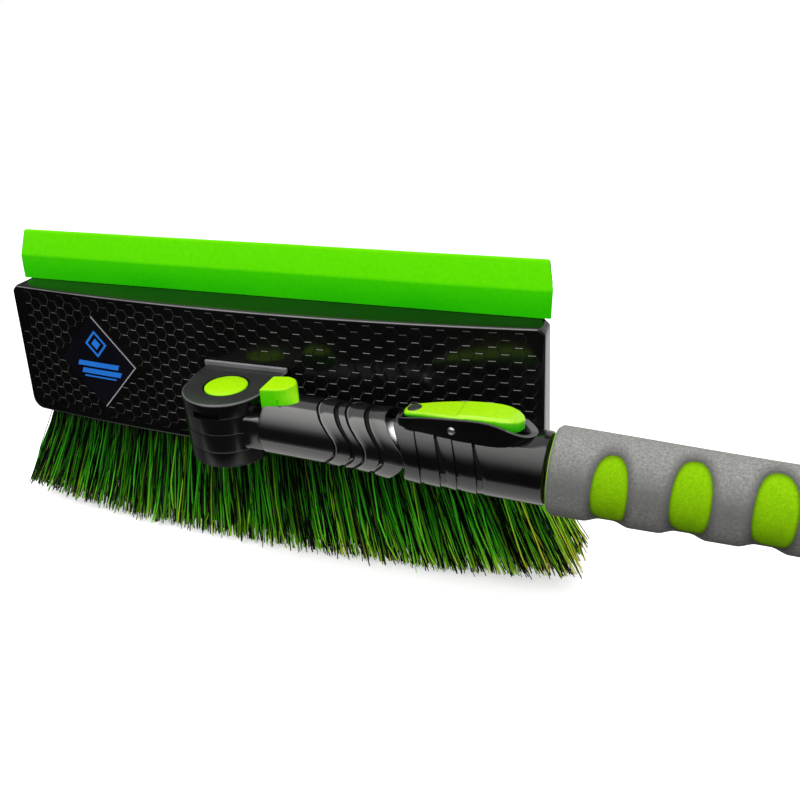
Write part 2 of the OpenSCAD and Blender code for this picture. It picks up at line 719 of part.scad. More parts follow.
// Sweeps one section through a grip: its radius dips from the ends to the waist
function grip_profile(extra) = [for (i = [0:12])
    let (t = i / 12, dip = sin(180 * t))
    [grip_r - (grip_r - waist_r) * dip * dip + extra, grip_start + (grip_end - grip_start) * t]];

module front_grip_core() color(lime) framed() along_x(0) rotate_extrude() polygon(concat(
    [[grip_bore, grip_start]], grip_profile(-grip_skin_t - 0.05), [[grip_bore, grip_end]]));

module front_grip_skin() color(grey_foam) framed() difference() {
    along_x(0) rotate_extrude() polygon(concat(grip_profile(0),
        [for (i = [12:-1:0]) grip_profile(-grip_skin_t)[i]]));
    for (i = [0:dent_count - 1]) along_x(dent_first + i * dent_pitch - dent_w / 2)
        rotate([0, 0, -90 + dent_middle_angle - dent_half_angle]) rotate_extrude(angle = 2 * dent_half_angle)
            translate([grip_bore + 1, 0]) square([far / 10, dent_w]);
}

module rear_grip_core() color(lime) framed() along_x(rear_grip_start) difference() {
    cylinder(r = rear_grip_r - grip_skin_t - 0.05, h = rear_grip_end - rear_grip_start);
    translate([0, 0, -1]) cylinder(r = grip_bore, h = far);
}

module rear_grip_skin() color(grey_foam) framed() along_x(rear_grip_start) difference() {
    cylinder(r = rear_grip_r, h = rear_grip_end - rear_grip_start);
    translate([0, 0, -1]) cylinder(r = rear_grip_r - grip_skin_t, h = far);
}

module fan_plan() polygon([
    [socket_end - 14, -12], [socket_end, -14], [blade_start, -blade_w / 2 + 5], [fan_end, -blade_w / 2 + 1],
    [fan_end, blade_w / 2 - 1], [blade_start, blade_w / 2 - 5], [socket_end, 14], [socket_end - 14, 12]]);

module scraper_head() color(black) framed() difference() {
    union() {
        along_x(socket_start) cylinder(r = socket_r, h = socket_end - socket_start);
        intersection() {
            translate([0, 0, -20]) linear_extrude(40) fan_plan();
            translate([0, 60, 0]) rotate([90, 0, 0]) linear_extrude(120) polygon([
                [socket_end - 14, -fan_t / 2], [blade_start, -fan_t / 2], [fan_end, -lip_t / 2],
                [fan_end, lip_t / 2], [blade_start, fan_t / 2], [socket_end - 14, fan_t / 2]]);
        }
        for (i = [0:chip_count - 1]) translate([fan_end, (i - (chip_count - 1) / 2) * 11, 0])
            rotate([90, 0, 0]) translate([0, 0, -2]) linear_extrude(4)
                polygon([[-26, 3], [-24, 9.2], [-4, 9.2], [2, lip_t / 2], [-2, 3]]);
    }
    along_x(socket_start - 1) cylinder(r = tube_r + slack, h = tube_end - socket_start + 1.5);
    box_between([blade_start - 0.2, -blade_w / 2 + 5.8, -blade_t / 2 - 0.05],
                [fan_end + 10, blade_w / 2 - 5.8, blade_t / 2 + 0.05]);
    translate([hang_x, 0, -20]) cylinder(r = hang_r, h = 40);
    for (s = [-1, 1]) translate([scraper_screw_x, s * scraper_screw_y, 0]) {
        translate([0, 0, -20]) cylinder(r = 2 + slack, h = 40);
        translate([0, 0, -20]) cylinder(r = 4.1, h = 20 - 3.4);
    }
    translate([pin_x, 30, 0]) rotate([90, 0, 0]) cylinder(r = 2 + slack, h = 60);
}

module scraper_blade() color(lime) framed() difference() {
    intersection() {
        linear_extrude(40, center = true) polygon([
            [blade_start, -blade_w / 2 + 6], [fan_end + 1, -blade_w / 2 + 6], [closed_reach - 6, -blade_w / 2],
            [closed_reach, -blade_w / 2 + 2], [closed_reach, blade_w / 2 - 2], [closed_reach - 6, blade_w / 2],
            [fan_end + 1, blade_w / 2 - 6], [blade_start, blade_w / 2 - 6]]);
        translate([0, 60, 0]) rotate([90, 0, 0]) linear_extrude(120) polygon([
            [blade_start, -blade_t / 2], [closed_reach - 9, -blade_t / 2], [closed_reach, -0.4],
            [closed_reach, 0.2], [closed_reach - 9, blade_t / 2], [blade_start, blade_t / 2]]);
    }
    for (s = [-1, 1]) translate([scraper_screw_x, s * scraper_screw_y, -20]) cylinder(r = 2 + slack, h = 40);
}

module scraper_screws() color(steel) framed() for (s = [-1, 1])
    translate([scraper_screw_x, s * scraper_screw_y, -5.6]) rotate([180, 0, 0]) screw(2, 9.4, 3.8, 2.1);

module scraper_pin() color(steel) framed() translate([pin_x, socket_r - 0.3, 0]) rotate([90, 0, 0])
    cylinder(r = 2, h = 2 * socket_r - 0.6);

// ---------------------------------------------------------------- nodes

head_cover();
badge();
rear_housing();
brush_block();
block_screws();
bristle_row(0);  // bristle_row_1
bristle_row(1);  // bristle_row_2
bristle_row(2);  // bristle_row_3
bristle_row(3);  // bristle_row_4
foam_blade();
cover_screws();
pivot_bracket();
bracket_screws();
pivot_bolt();
pivot_nut();
pivot_cap();
neck_upper_shell();
neck_lower_shell();
neck_screws();
pivot_bush();
inner_pole();
pole_rivet();
pole_end_bush();
button_spring();
release_button();
clamp_collar();
lever_cradle();
lever_rivet();
collar_bush();
collar_screw();
lever_spring();
lock_lever();
lock_pin();
outer_tube();
front_grip_core();
front_grip_skin();
rear_grip_core();
rear_grip_skin();
scraper_head();
scraper_blade();
scraper_screws();
scraper_pin();
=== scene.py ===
import json
import math

import bmesh
import bpy
import numpy as np
from mathutils import Matrix, Vector


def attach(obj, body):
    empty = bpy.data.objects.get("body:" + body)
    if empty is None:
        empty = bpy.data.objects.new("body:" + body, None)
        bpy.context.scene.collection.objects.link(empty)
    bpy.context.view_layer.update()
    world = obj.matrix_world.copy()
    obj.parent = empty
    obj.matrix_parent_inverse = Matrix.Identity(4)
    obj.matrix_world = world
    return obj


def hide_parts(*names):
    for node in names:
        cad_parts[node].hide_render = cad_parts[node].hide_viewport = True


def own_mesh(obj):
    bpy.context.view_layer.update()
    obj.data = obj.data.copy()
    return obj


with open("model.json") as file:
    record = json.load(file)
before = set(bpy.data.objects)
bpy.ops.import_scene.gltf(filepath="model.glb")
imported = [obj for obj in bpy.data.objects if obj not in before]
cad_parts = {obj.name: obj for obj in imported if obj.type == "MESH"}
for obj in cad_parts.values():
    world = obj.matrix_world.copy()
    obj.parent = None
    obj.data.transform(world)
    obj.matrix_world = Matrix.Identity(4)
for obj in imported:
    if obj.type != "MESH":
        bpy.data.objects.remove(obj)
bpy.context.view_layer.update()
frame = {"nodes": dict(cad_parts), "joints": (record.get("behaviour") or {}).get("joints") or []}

# All shapes below are in millimetres about the head's pivot: +X along the handle, +Z up.
# Head pieces are also turned by the angle at which the head is folded.
MM = 0.001
PIVOT = np.array({j["name"]: j for j in frame["joints"]}["head_pivot"]["pos_m"])
FOLD = math.radians(3.44)
rng = np.random.default_rng(7)


# ------------------------------------------------------------------ mesh helpers

def place(points, head=False):
    """Points in metres and in the frame's axes. Those of the head are turned to where it is folded."""
    p = np.asarray(points, float).reshape(-1, 3)
    if head:
        c, s = math.cos(FOLD), math.sin(FOLD)
        p = np.column_stack([p[:, 0] * c - p[:, 1] * s, p[:, 0] * s + p[:, 1] * c, p[:, 2]])
    return p * MM + PIVOT


def piece(name, mesh, body, looks, node=None, sharp=32, kinds=None, crisp=False, turned=True):
    """A new object of (points, faces) that rides on a body and stands for a CAD node.

    kinds gives each face's look. turned says whether a head piece's points are on the head's own axes.
    """
    points, faces = mesh
    spots = place(points, body == "head" and turned)
    made = bpy.data.meshes.new(name)
    made.from_pydata(spots.tolist(), [], [list(map(int, f)) for f in faces])
    for look in looks:
        made.materials.append(look)
    if kinds is not None:
        made.polygons.foreach_set("material_index", np.asarray(kinds, np.int32))
    made.validate()
    made.update()
    obj = bpy.data.objects.new(name, made)
    bpy.context.collection.objects.link(obj)
    if crisp:
        outward(obj)
        crisp_shade(obj, sharp)
    else:
        shade(obj, sharp)
    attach(obj, body)
    if node:
        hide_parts(node)
    return obj


def shade(obj, sharp):
    """Smooth shading with sharp edges where faces meet at more than an angle in degrees."""
    obj.data.shade_smooth()
    obj.data.set_sharp_from_angle(angle=math.radians(sharp))


def crisp_shade(obj, sharp):
    """Smooth shading in which the big faces stay flat and only the narrow bevels turn the light."""
    shade(obj, sharp)
    weigh = obj.modifiers.new("weigh", "WEIGHTED_NORMAL")
    weigh.keep_sharp = True
    weigh.weight = 80
    freeze(obj)


def outward(obj):
    """Turns the faces' normals out of the solid."""
    bm = bmesh.new()
    bm.from_mesh(obj.data)
    bmesh.ops.recalc_face_normals(bm, faces=bm.faces)
    bm.to_mesh(obj.data)
    bm.free()
    return obj


def freeze(obj):
    """The piece's modifiers become part of its mesh."""
    bpy.context.view_layer.update()
    made = bpy.data.meshes.new_from_object(obj.evaluated_get(bpy.context.evaluated_depsgraph_get()))
    made.name = obj.name
    obj.modifiers.clear()
    obj.data = made


def softened(node, body, materials, width, segments=2):
    """A copy of a CAD node with rounded edges, standing for the node."""
    weld, flat, sharp = 0.002 * MM, math.radians(0.4), math.radians(34)
    mesh = frame["nodes"][node].data.copy()
    mesh.name = "soft_" + node
    mesh.materials.clear()
    for material in materials:
        mesh.materials.append(material)
    for name in ("custom_normal", "sharp_face", "sharp_edge"):
        if name in mesh.attributes:
            mesh.attributes.remove(mesh.attributes[name])
    bm = bmesh.new()
    bm.from_mesh(mesh)
    bmesh.ops.remove_doubles(bm, verts=bm.verts, dist=weld)
    bmesh.ops.dissolve_limit(bm, angle_limit=flat, verts=bm.verts, edges=bm.edges)
    weight = bm.edges.layers.float.new("bevel_weight_edge")
    for face in bm.faces:
        face.material_index = 0
    for edge in bm.edges:
        edge[weight] = float(edge.calc_face_angle(0) > sharp)
    bm.to_mesh(mesh)
    bm.free()
    obj = bpy.data.objects.new("soft_" + node, mesh)
    bpy.context.collection.objects.link(obj)
    bevel = obj.modifiers.new("edge", "BEVEL")
    bevel.width = width * MM
    bevel.segments = segments
    bevel.limit_method = "WEIGHT"
    bevel.use_clamp_overlap = True
    bevel.miter_outer = "MITER_ARC"
    freeze(obj)
    crisp_shade(obj, 30)
    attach(obj, body)
    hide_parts(node)


def grid(rows, cols, wrap=False):
    """Faces of a grid of points, numbered row by row. A wrapped one closes each row into a ring."""
    i = np.arange(rows - 1)[:, None]
    j = np.arange(cols if wrap else cols - 1)[None, :]
    a, b = i * cols + j, i * cols + (j + 1) % cols
    return np.stack([a, b, b + cols, a + cols], -1).reshape(-1, 4)


def loft(rows, cols, low_cap=True, high_cap=True, turned=False):
    """Faces of closed rings of cols points, one after another, with a cap at each end."""
    faces = grid(rows, cols, wrap=True).tolist()
    first, last = list(range(cols)), [(rows - 1) * cols + i for i in range(cols)]
    if low_cap:
        faces.append(first if turned else first[::-1])
    if high_cap:
        faces.append(last[::-1] if turned else last)
    return faces


def compact(points, faces):
    """The points that the faces use, the faces renumbered for them, and the old numbers of the points."""
    used = sorted({i for face in faces for i in face})
    index = {old: new for new, old in enumerate(used)}
    return np.array(points)[used], [[index[i] for i in face] for face in faces], used


def polar(x, r, degrees):
    """Points round the handle's axis: 0 degrees faces -Y and 90 is the top."""
    a = np.radians(degrees)
    return np.stack(np.broadcast_arrays(x, -r * np.cos(a), r * np.sin(a)), -1)


def smoothstep(low, high, v):
    """0 below low, 1 above high, and a smooth rise between them."""
    t = np.clip((np.asarray(v, float) - low) / (high - low), 0, 1)
    return t * t * (3 - 2 * t)


def swoop(degrees):
    """How far a groove leans towards the handle at an angle: least on top, most in front."""
    angles = np.arange(-90, 91, 1.0)
    shape = np.interp(angles, [-90, -52, -34, -18, -8, 2, 10, 18, 26, 33, 43, 50, 65, 76, 90],
                      [0, 0.22, 0.5, 0.82, 0.96, 1, 0.985, 0.9, 0.73, 0.6, 0.41, 0.3, 0.11, 0.02, 0])
    window = np.exp(-np.linspace(-2, 2, 11) ** 2)
    shape = np.convolve(np.pad(shape, 5, mode="reflect"), window / window.sum(), mode="valid")
    t = (np.asarray(degrees, float) + 90) % 360 - 90
    return np.interp(np.where(t > 90, 180 - t, t), angles, shape)


def layered(outline, levels, low_cap=True, high_cap=True):
    """An outline from above stacked at levels of (height, inset)."""
    o = np.asarray(outline, float)
    ahead, behind = np.roll(o, -1, 0) - o, o - np.roll(o, 1, 0)
    n = np.stack([ahead[:, 1] + behind[:, 1], -ahead[:, 0] - behind[:, 0]], -1)
    n /= np.linalg.norm(n, axis=1)[:, None]
    rings = [np.column_stack([o - n * np.asarray(inset).reshape(-1, 1), np.broadcast_to(z, len(o))])
             for z, inset in levels]
    return np.concatenate(rings), loft(len(rings), len(o), low_cap, high_cap)


def slab(outline, z0, z1, edge):
    """An outline from above, given thickness, with rounded upper and lower edges."""
    low = [(z0, edge), (z0 + edge * 0.3, edge * 0.3), (z0 + edge, 0)]
    return layered(outline, low + [(z1 - edge, 0), (z1 - edge * 0.3, edge * 0.3), (z1, edge)])


def rounded(points, rounds, count=6):
    """A closed outline with each corner rounded by its own radius."""
    result = []
    n = len(points)
    for i, (p, r) in enumerate(zip(points, rounds)):
        p, a, b = np.array(p, float), np.array(points[i - 1], float), np.array(points[(i + 1) % n], float)
        da, db = a - p, b - p
        la, lb = np.linalg.norm(da), np.linalg.norm(db)
        cut = min(r, la * 0.48, lb * 0.48)
        p0, p1 = p + da / la * cut, p + db / lb * cut
        for t in np.linspace(0, 1, count):
            result.append((1 - t) ** 2 * p0 + 2 * t * (1 - t) * p + t * t * p1)
    return np.array(result)


def merged(*parts):
    """Several meshes of (points, faces) as one."""
    points, faces, start = [], [], 0
    for p, f in parts:
        points.append(np.asarray(p, float).reshape(-1, 3))
        faces += [[int(i) + start for i in face] for face in f]
        start += len(points[-1])
    return np.concatenate(points), faces


def lathe(profile, count, centre):
    """A profile of (radius, height) turned about a vertical line."""
    a = np.linspace(0, 2 * math.pi, count, endpoint=False)
    x0, y0, z0 = centre
    rings = [np.column_stack([x0 + r * np.cos(a), y0 + r * np.sin(a), np.full(count, z0 + z)])
             for r, z in profile]
    return np.concatenate(rings), loft(len(rings), count)


# ------------------------------------------------------------------ materials

class Graph:
    """The shader nodes of one tree. An input is fed a number, a colour or another node's output."""

    def __init__(self, tree):
        self.tree = tree
        tree.nodes.clear()

    def add(self, kind, inputs=None, **values):
        node = self.tree.nodes.new(kind)
        for key, value in values.items():
            setattr(node, key, value)
        for key, value in (inputs or {}).items():
            self.feed(node.inputs[key], value)
        return node

    def feed(self, socket, value):
        if isinstance(value, bpy.types.NodeSocket):
            self.tree.links.new(value, socket)
        elif socket.type == "RGBA":
            socket.default_value = (*value[:3], 1)
        else:
            socket.default_value = value

    def math(self, operation, a, b=0.0):
        return self.add("ShaderNodeMath", {0: a, 1: b}, operation=operation).outputs[0]

    def spread(self, value, low, high, start=0.3, end=0.7):
        """The value's stretch from start to end, spread over low to high."""
        ends = {"From Min": start, "From Max": end, "To Min": low, "To Max": high}
        return self.add("ShaderNodeMapRange", {"Value": value, **ends}).outputs[0]


class Look(Graph):
    """A material of one Principled shader."""

    def __init__(self, name):
        self.material = bpy.data.materials.new(name)
        self.material.use_nodes = True
        super().__init__(self.material.node_tree)
        self.shader = self.add("ShaderNodeBsdfPrincipled")
        self.add("ShaderNodeOutputMaterial", {0: self.shader.outputs[0]})
        self.coords = self.add("ShaderNodeTexCoord").outputs["Object"]

    def stretched(self, scale):
        return self.add("ShaderNodeMapping", {"Vector": self.coords, "Scale": scale}).outputs[0]

    def noise(self, scale, detail=4, vector=None, rough=0.55):
        inputs = {"Vector": vector or self.coords, "Scale": scale, "Detail": detail, "Roughness": rough}
        return self.add("ShaderNodeTexNoise", inputs).outputs["Fac"]

    def mix(self, factor, a, b):
        return self.add("ShaderNodeMix", {0: factor, 6: a, 7: b}, data_type="RGBA").outputs[2]

    def upward(self):
        """How far the surface faces up: the height of its normal."""
        normal = self.add("ShaderNodeNewGeometry").outputs["Normal"]
        return self.add("ShaderNodeSeparateXYZ", {0: normal}).outputs[2]

    def bump(self, height, strength, distance):
        bump = self.add("ShaderNodeBump", {"Strength": strength, "Distance": distance, "Height": height})
        self.set(Normal=bump.outputs[0])

    def set(self, **values):
        for key, value in values.items():
            self.feed(self.shader.inputs[key.replace("_", " ")], value)


def moulded(name, colour, other, roughness, spec=0.5, grain=0.04, ior=1.5):
    """Moulded plastic: slight mottling, fine grain, and smudges that change its gloss."""
    n = Look(name)
    n.set(Base_Color=n.mix(n.spread(n.noise(60, 5), 0, 1), colour, other),
          Roughness=n.spread(n.noise(35, 6, rough=0.7), roughness * 0.8, roughness * 1.35),
          Specular_IOR_Level=spec, IOR=ior)
    n.bump(n.noise(2600, 3), grain, 0.00006)
    return n.material


def neutral(name, low, high, roughness, **values):
    """Moulded plastic in black or grey."""
    return moulded(name, (low,) * 3, (high,) * 3, roughness, **values)


def lime_look(name, bright, deep, roughness, grain=0.04, scale=2600, distance=0.00006, spec=0.3):
    """Bright green with painted light: where it faces up it is painted yellower and brighter, as the plastic
    looks under an overhead light.
    """
    n = Look(name)
    # painted light: the colour runs from deep on the sides to bright where the surface faces up
    base = n.mix(n.spread(n.upward(), 0, 1, -0.05, 0.8), deep, bright)
    speck = n.spread(n.noise(420, 6), 0, 0.16)
    n.set(Base_Color=n.mix(speck, base, tuple(c * 0.55 for c in deep)),
          Roughness=n.spread(n.noise(50, 5), roughness * 0.85, roughness * 1.3),
          Specular_IOR_Level=spec)
    n.bump(n.noise(scale, 4), grain, distance)
    return n.material


def metal(name, colour, roughness, along=(1, 1, 1), scratch=0.12):
    """Drawn or turned metal, with fine lines that along can stretch in one direction."""
    n = Look(name)
    lines = n.noise(900, 5, n.stretched(along))
    n.set(Base_Color=n.mix(n.spread(lines, 0, 0.35), colour, tuple(c * 0.6 for c in colour)),
          Roughness=n.spread(lines, roughness * 0.7, roughness * 1.5),
          Metallic=1.0)
    n.bump(lines, scratch, 0.00005)
    return n.material


def foam(name, colour, dark, flank_shade=0.0):
    """Open-pored foam with fine pits and a mottled tint.

    The mesh's attribute of painted shade darkens it round its dents, and the last argument is how much
    painted shade darkens its flanks.
    """
    n = Look(name)
    pores = n.noise(900, 6, rough=0.8)
    base = n.mix(n.spread(pores, 0, 0.75, 0.36, 0.62), colour, dark)
    base = n.mix(n.spread(n.noise(90, 3), 0, 0.12), base, dark)
    # painted shade round the windows in the dents, from the mesh's attribute
    window_shade = n.add("ShaderNodeAttribute", attribute_name="window_shade").outputs["Fac"]
    base = n.mix(window_shade, base, tuple(c * 0.2 for c in colour))
    # painted shade: the flanks darken by how near the normal's height is to 0.28
    off_flank = n.math("ABSOLUTE", n.math("SUBTRACT", n.upward(), 0.28))
    n.set(Base_Color=n.mix(n.spread(off_flank, flank_shade, 0, 0.1, 0.58), base, dark),
          Roughness=n.spread(pores, 0.72, 0.95), Specular_IOR_Level=0.08)
    n.bump(pores, 0.55, 0.0003)
    return n.material


def filament_look():
    """Bristle plastic in each strand's own tint, which carries painted shade towards the root and painted
    light towards the tip, with streaks along it.
    """
    n = Look("filament")
    tint = n.add("ShaderNodeAttribute", attribute_name="tint").outputs["Color"]
    streaks = n.noise(700, 3, n.stretched((1, 1, 0.05)))
    n.set(Base_Color=n.mix(n.spread(streaks, 0, 0.25), tint, (0.003, 0.012, 0.002)),
          Roughness=n.spread(n.noise(400, 2), 0.35, 0.55), Specular_IOR_Level=0.1)
    return n.material


gloss_black = moulded("gloss_black", (0.0032, 0.003, 0.003), (0.005, 0.0047, 0.0045), 0.13, spec=0.4)
# painted glint: a lighter grey for the honeycomb's upper edges
glint_grey = neutral("glint_grey", 0.015, 0.10, 0.22, spec=0.8)
satin_black = neutral("satin_black", 0.0025, 0.0045, 0.15, spec=0.55)
neck_black = neutral("neck_black", 0.003, 0.005, 0.14, spec=0.9, ior=1.58)
# painted highlight: a light grey for the bracket's rim bar
rim_highlight_grey = moulded("rim_highlight_grey", (0.15, 0.15, 0.16), (0.2, 0.2, 0.21), 0.3, spec=0.6)
# painted highlight: a dim light grey for the ear's top edge and the cradle's rim and ledge
dim_highlight_grey = moulded("dim_highlight_grey", (0.07, 0.07, 0.072), (0.11, 0.11, 0.112), 0.3, spec=0.6)
# painted shade: a matt black for grooves, notches and hollows
shade_black = neutral("shade_black", 0.0015, 0.003, 0.5, spec=0.15)
# painted reflection: a dark grey for the ear's top
sheen_grey = moulded("sheen_grey", (0.02, 0.022, 0.02), (0.03, 0.032, 0.03), 0.2, spec=0.55)
# painted highlight: a lighter grey for the cover's upper edge and the neck's groove lips
shine_grey = neutral("shine_grey", 0.10, 0.20, 0.22, spec=0.9)
matt_black = neutral("matt_black", 0.008, 0.014, 0.36, spec=0.45, grain=0.3)
# the lime materials below have painted light: they are yellower and brighter where they face up
lime_plastic = lime_look("lime_plastic", (0.42, 0.82, 0.0), (0.04, 0.72, 0.0), 0.2, spec=0.2)
collar_black = neutral("collar_black", 0.0025, 0.0045, 0.15, spec=0.68)
lever_lime = lime_look("lever_lime", (0.40, 0.77, 0.0), (0.04, 0.70, 0.0), 0.24, spec=0.6)
pusher_foam = lime_look("pusher_foam", (0.17, 0.76, 0.0), (0.01, 0.67, 0.0), 0.66, grain=0.4, scale=1400,
                        distance=0.00016, spec=0.04)
blade_lime = lime_look("blade_lime", (0.34, 0.72, 0.005), (0.08, 0.52, 0.005), 0.16)
aluminium = metal("aluminium", (0.86, 0.87, 0.88), 0.3, (0.03, 1, 1))
steel_metal = metal("steel_metal", (0.46, 0.46, 0.48), 0.3)
pin_metal = metal("pin_metal", (0.16, 0.16, 0.16), 0.42, scratch=0.6)
tube_paint = moulded("tube_paint", (0.008, 0.008, 0.009), (0.014, 0.014, 0.014), 0.3, spec=0.5, grain=0.3)
# the grey grip's flanks get painted shade
grip_grey = foam("grip_grey", (0.37, 0.374, 0.352), (0.13, 0.13, 0.125), flank_shade=0.72)
grip_lime = foam("grip_lime", (0.30, 0.62, 0.002), (0.17, 0.42, 0.001))
badge_black = moulded("badge_black", (0.003, 0.003, 0.006), (0.005, 0.005, 0.009), 0.2, spec=0.4)
badge_blue = moulded("badge_blue", (0.012, 0.19, 0.80), (0.016, 0.24, 0.90), 0.35)
badge_silver = moulded("badge_silver", (0.34, 0.35, 0.37), (0.44, 0.45, 0.47), 0.3, spec=0.8)
filament = filament_look()

# ------------------------------------------------------------------ head: cover

HALF, FLARE = 152.6, 3.2           # half the cover's length at the top, and what its foot adds
TOP, BOTTOM = 46.7, -30.7
BOW_R = (151.5 ** 2 + 9.6 ** 2) / (2 * 9.6)
LEAN = math.atan(5.4 / (TOP - BOTTOM))
FACE_Y, SHIFT, OPEN_BACK = 18.6, -1.0, 48
OPENING = (23.8, -19.4, 17.4)      # half width, foot and top of the opening for the bracket
BADGE_U, BADGE_Z, BADGE_W, BADGE_H = -95.8, 7.6, 26.0, 27.4


def face_point(u, z, out=0.0):
    """A point on the bowed, leaning face, moved outwards along the face's normal."""
    u, z = np.asarray(u, float), np.asarray(z, float)
    y = FACE_Y + (BOW_R - np.sqrt(BOW_R ** 2 - u ** 2)) / math.cos(LEAN) + (z - BOTTOM) * math.tan(LEAN)
    n = np.stack([u / BOW_R, -np.ones_like(u), np.full_like(u, math.tan(LEAN))], -1)
    n /= np.linalg.norm(n, axis=-1)[..., None]
    return np.stack([u + SHIFT, y, z], -1) + n * np.asarray(out)[..., None]


def half_length(z):
    """Half the cover's length at a height."""
    return HALF + FLARE * ((TOP - z) / (TOP - BOTTOM))


def make_cover():
    """The front casing: the bowed face with its opening, a rounded rim, and the sides behind it."""
    fillet, corner, chamfer, thick = 1.4, 5.8, 2.4, 2.2
    opening, foot, head = OPENING

    def width(z):
        dz = np.clip(corner - (z - BOTTOM - fillet), 0, corner)
        w = half_length(z) - fillet - corner + np.sqrt(corner ** 2 - dz ** 2)
        return w - np.clip(chamfer - (TOP - fillet - z), 0, chamfer)

    s = np.unique(np.concatenate([np.linspace(-1, 1, 61), [-opening / HALF, opening / HALF]]))
    near = corner * (1 - np.cos(np.linspace(0, math.pi / 2, 7)))
    rows = np.unique(np.concatenate([BOTTOM + fillet + near, np.linspace(BOTTOM + 9, TOP - 4, 18),
                                     [foot, head], TOP - fillet - np.array([2.4, 1.6, 0.8, 0])]))
    base = np.stack([face_point(s * width(z), np.full(len(s), z)) for z in rows])
    nr, nc = base.shape[:2]
    points = list(base.reshape(-1, 3))
    faces = grid(nr, nc)
    x, _, z = base.reshape(-1, 3)[faces].mean(1).T
    faces = faces[~((np.abs(x) < opening) & (z > foot) & (z < head))].tolist()
    loop = ([(0, j) for j in range(nc)] + [(i, nc - 1) for i in range(1, nr)]
            + [(nr - 1, j) for j in range(nc - 2, -1, -1)] + [(i, 0) for i in range(nr - 2, 0, -1)])
    rim = np.array([base[at] for at in loop])
    n = len(rim)
    step = np.roll(rim, -1, 0) - np.roll(rim, 1, 0)
    out = np.stack([step[:, 2], np.zeros(n), -step[:, 0]], -1)
    out /= np.linalg.norm(out, axis=1)[:, None]
    rings = []
    for a in map(math.radians, (22, 45, 68, 90)):
        rings.append(rim + out * fillet * math.sin(a) + [0, fillet * (1 - math.cos(a)), 0])
    for part in (0.35, 0.7, 1.0):
        ring = rings[3].copy()
        ring[:, 1] = ring[:, 1] * (1 - part) + OPEN_BACK * part
        rings.append(ring)
    # the fillet's second lap along the upper edge is a lighter grey: a painted highlight
    kinds = [0] * len(faces)
    last = [i * nc + j for i, j in loop]
    for lap, ring in enumerate(rings):
        new = list(range(len(points), len(points) + n))
        points += list(ring)
        for k in range(n):
            after = (k + 1) % n
            faces.append([last[k], new[k], new[after], last[after]])
            kinds.append(int(lap == 1 and loop[k][0] == loop[after][0] == nr - 1))
        last = new
    obj = piece("head_cover_shell", (points, [f[::-1] for f in faces]), "head",
                [gloss_black, shine_grey], "head_cover", kinds=kinds)
    outward(obj)
    wall = obj.modifiers.new("wall", "SOLIDIFY")
    wall.thickness = thick * MM
    wall.offset = -1
    freeze(obj)
    shade(obj, 40)


def make_hexagons():
    """The honeycomb of low cells on the face, clear of its borders, the badge and the bracket."""
    side, gap, high, slope = 4.095, 0.5, 0.26, 0.31
    first_u, first_z, border, top_border = 5.9, 5.5, 6.0, 5.6
    column, row = side * 1.5, side * math.sqrt(3)
    outer = side - gap / math.sqrt(3) * 1.1
    corners = np.radians(np.arange(6) * 60)
    points, faces, kinds = [], [], []
    for i in range(-26, 27):
        for j in range(-7, 8):
            u, z = i * column + first_u, j * row + (i % 2) * row / 2 + first_z
            on_face = abs(u) <= half_length(z) - border and BOTTOM + border < z < TOP - top_border
            in_corner = abs(u) > HALF - 9 and z < BOTTOM + 9
            on_badge = abs(u - BADGE_U) / (BADGE_W + 4.6) + abs(z - BADGE_Z) / (BADGE_H + 4.6) < 1
            on_bracket = abs(u) < 28.5 and -23.5 < z < 21
            if not on_face or in_corner or on_badge or on_bracket:
                continue
            start = len(points)
            for r, h in ((outer, -0.25), (outer, high * 0.25), (outer - slope, high)):
                points += list(face_point(u + r * np.cos(corners), z + r * np.sin(corners), np.full(6, h)))
            for k in range(6):
                n = (k + 1) % 6
                faces.append([start + k, start + n, start + 6 + n, start + 6 + k])
                faces.append([start + 6 + k, start + 6 + n, start + 12 + n, start + 12 + k])
                # the upper edges are a lighter grey as a painted glint, except in the top row
                kinds += [0, int(k == 1 and z + row < TOP - top_border)]
            faces.append([start + 12 + k for k in range(6)])
            kinds.append(0)
    outward(piece("head_cover_relief", (points, faces), "head", [gloss_black, glint_grey],
                  kinds=kinds, sharp=20))


BADGE_MARK = 0.62                  # how far the badge's marks stand out


def badge_point(u, z, out):
    """A point of the badge, from its middle."""
    return face_point(BADGE_U + u, BADGE_Z + z, out)


def diamond_ring(outer, inner, high, u=0.0, z=0.0):
    """A flat diamond border on the badge between two scales of the badge's outline."""
    low = -0.2
    points, faces = [], []
    for scale, h in ((outer, low), (outer, high), (inner, high), (inner, low)):
        for a, b in ((1, 0), (0, 1), (-1, 0), (0, -1)):
            points.append(badge_point(u + a * BADGE_W * scale, z + b * BADGE_H * scale, h))
    for ring in (0, 4, 8):
        for k in range(4):
            n = (k + 1) % 4
            faces.append([ring + k, ring + n, ring + 4 + n, ring + 4 + k])
    return np.array(points), faces


def badge_bar(u0, u1, z, thick):
    """A slanting bar on the badge."""
    points = [badge_point(u, z + dz, h) for h in (0.3, BADGE_MARK)
              for u, dz in ((u0, -thick), (u1, -thick), (u1 + thick, thick), (u0 + thick, thick))]
    return np.array(points), [[4, 5, 6, 7], [0, 1, 5, 4], [1, 2, 6, 5], [2, 3, 7, 6], [3, 0, 4, 7]]


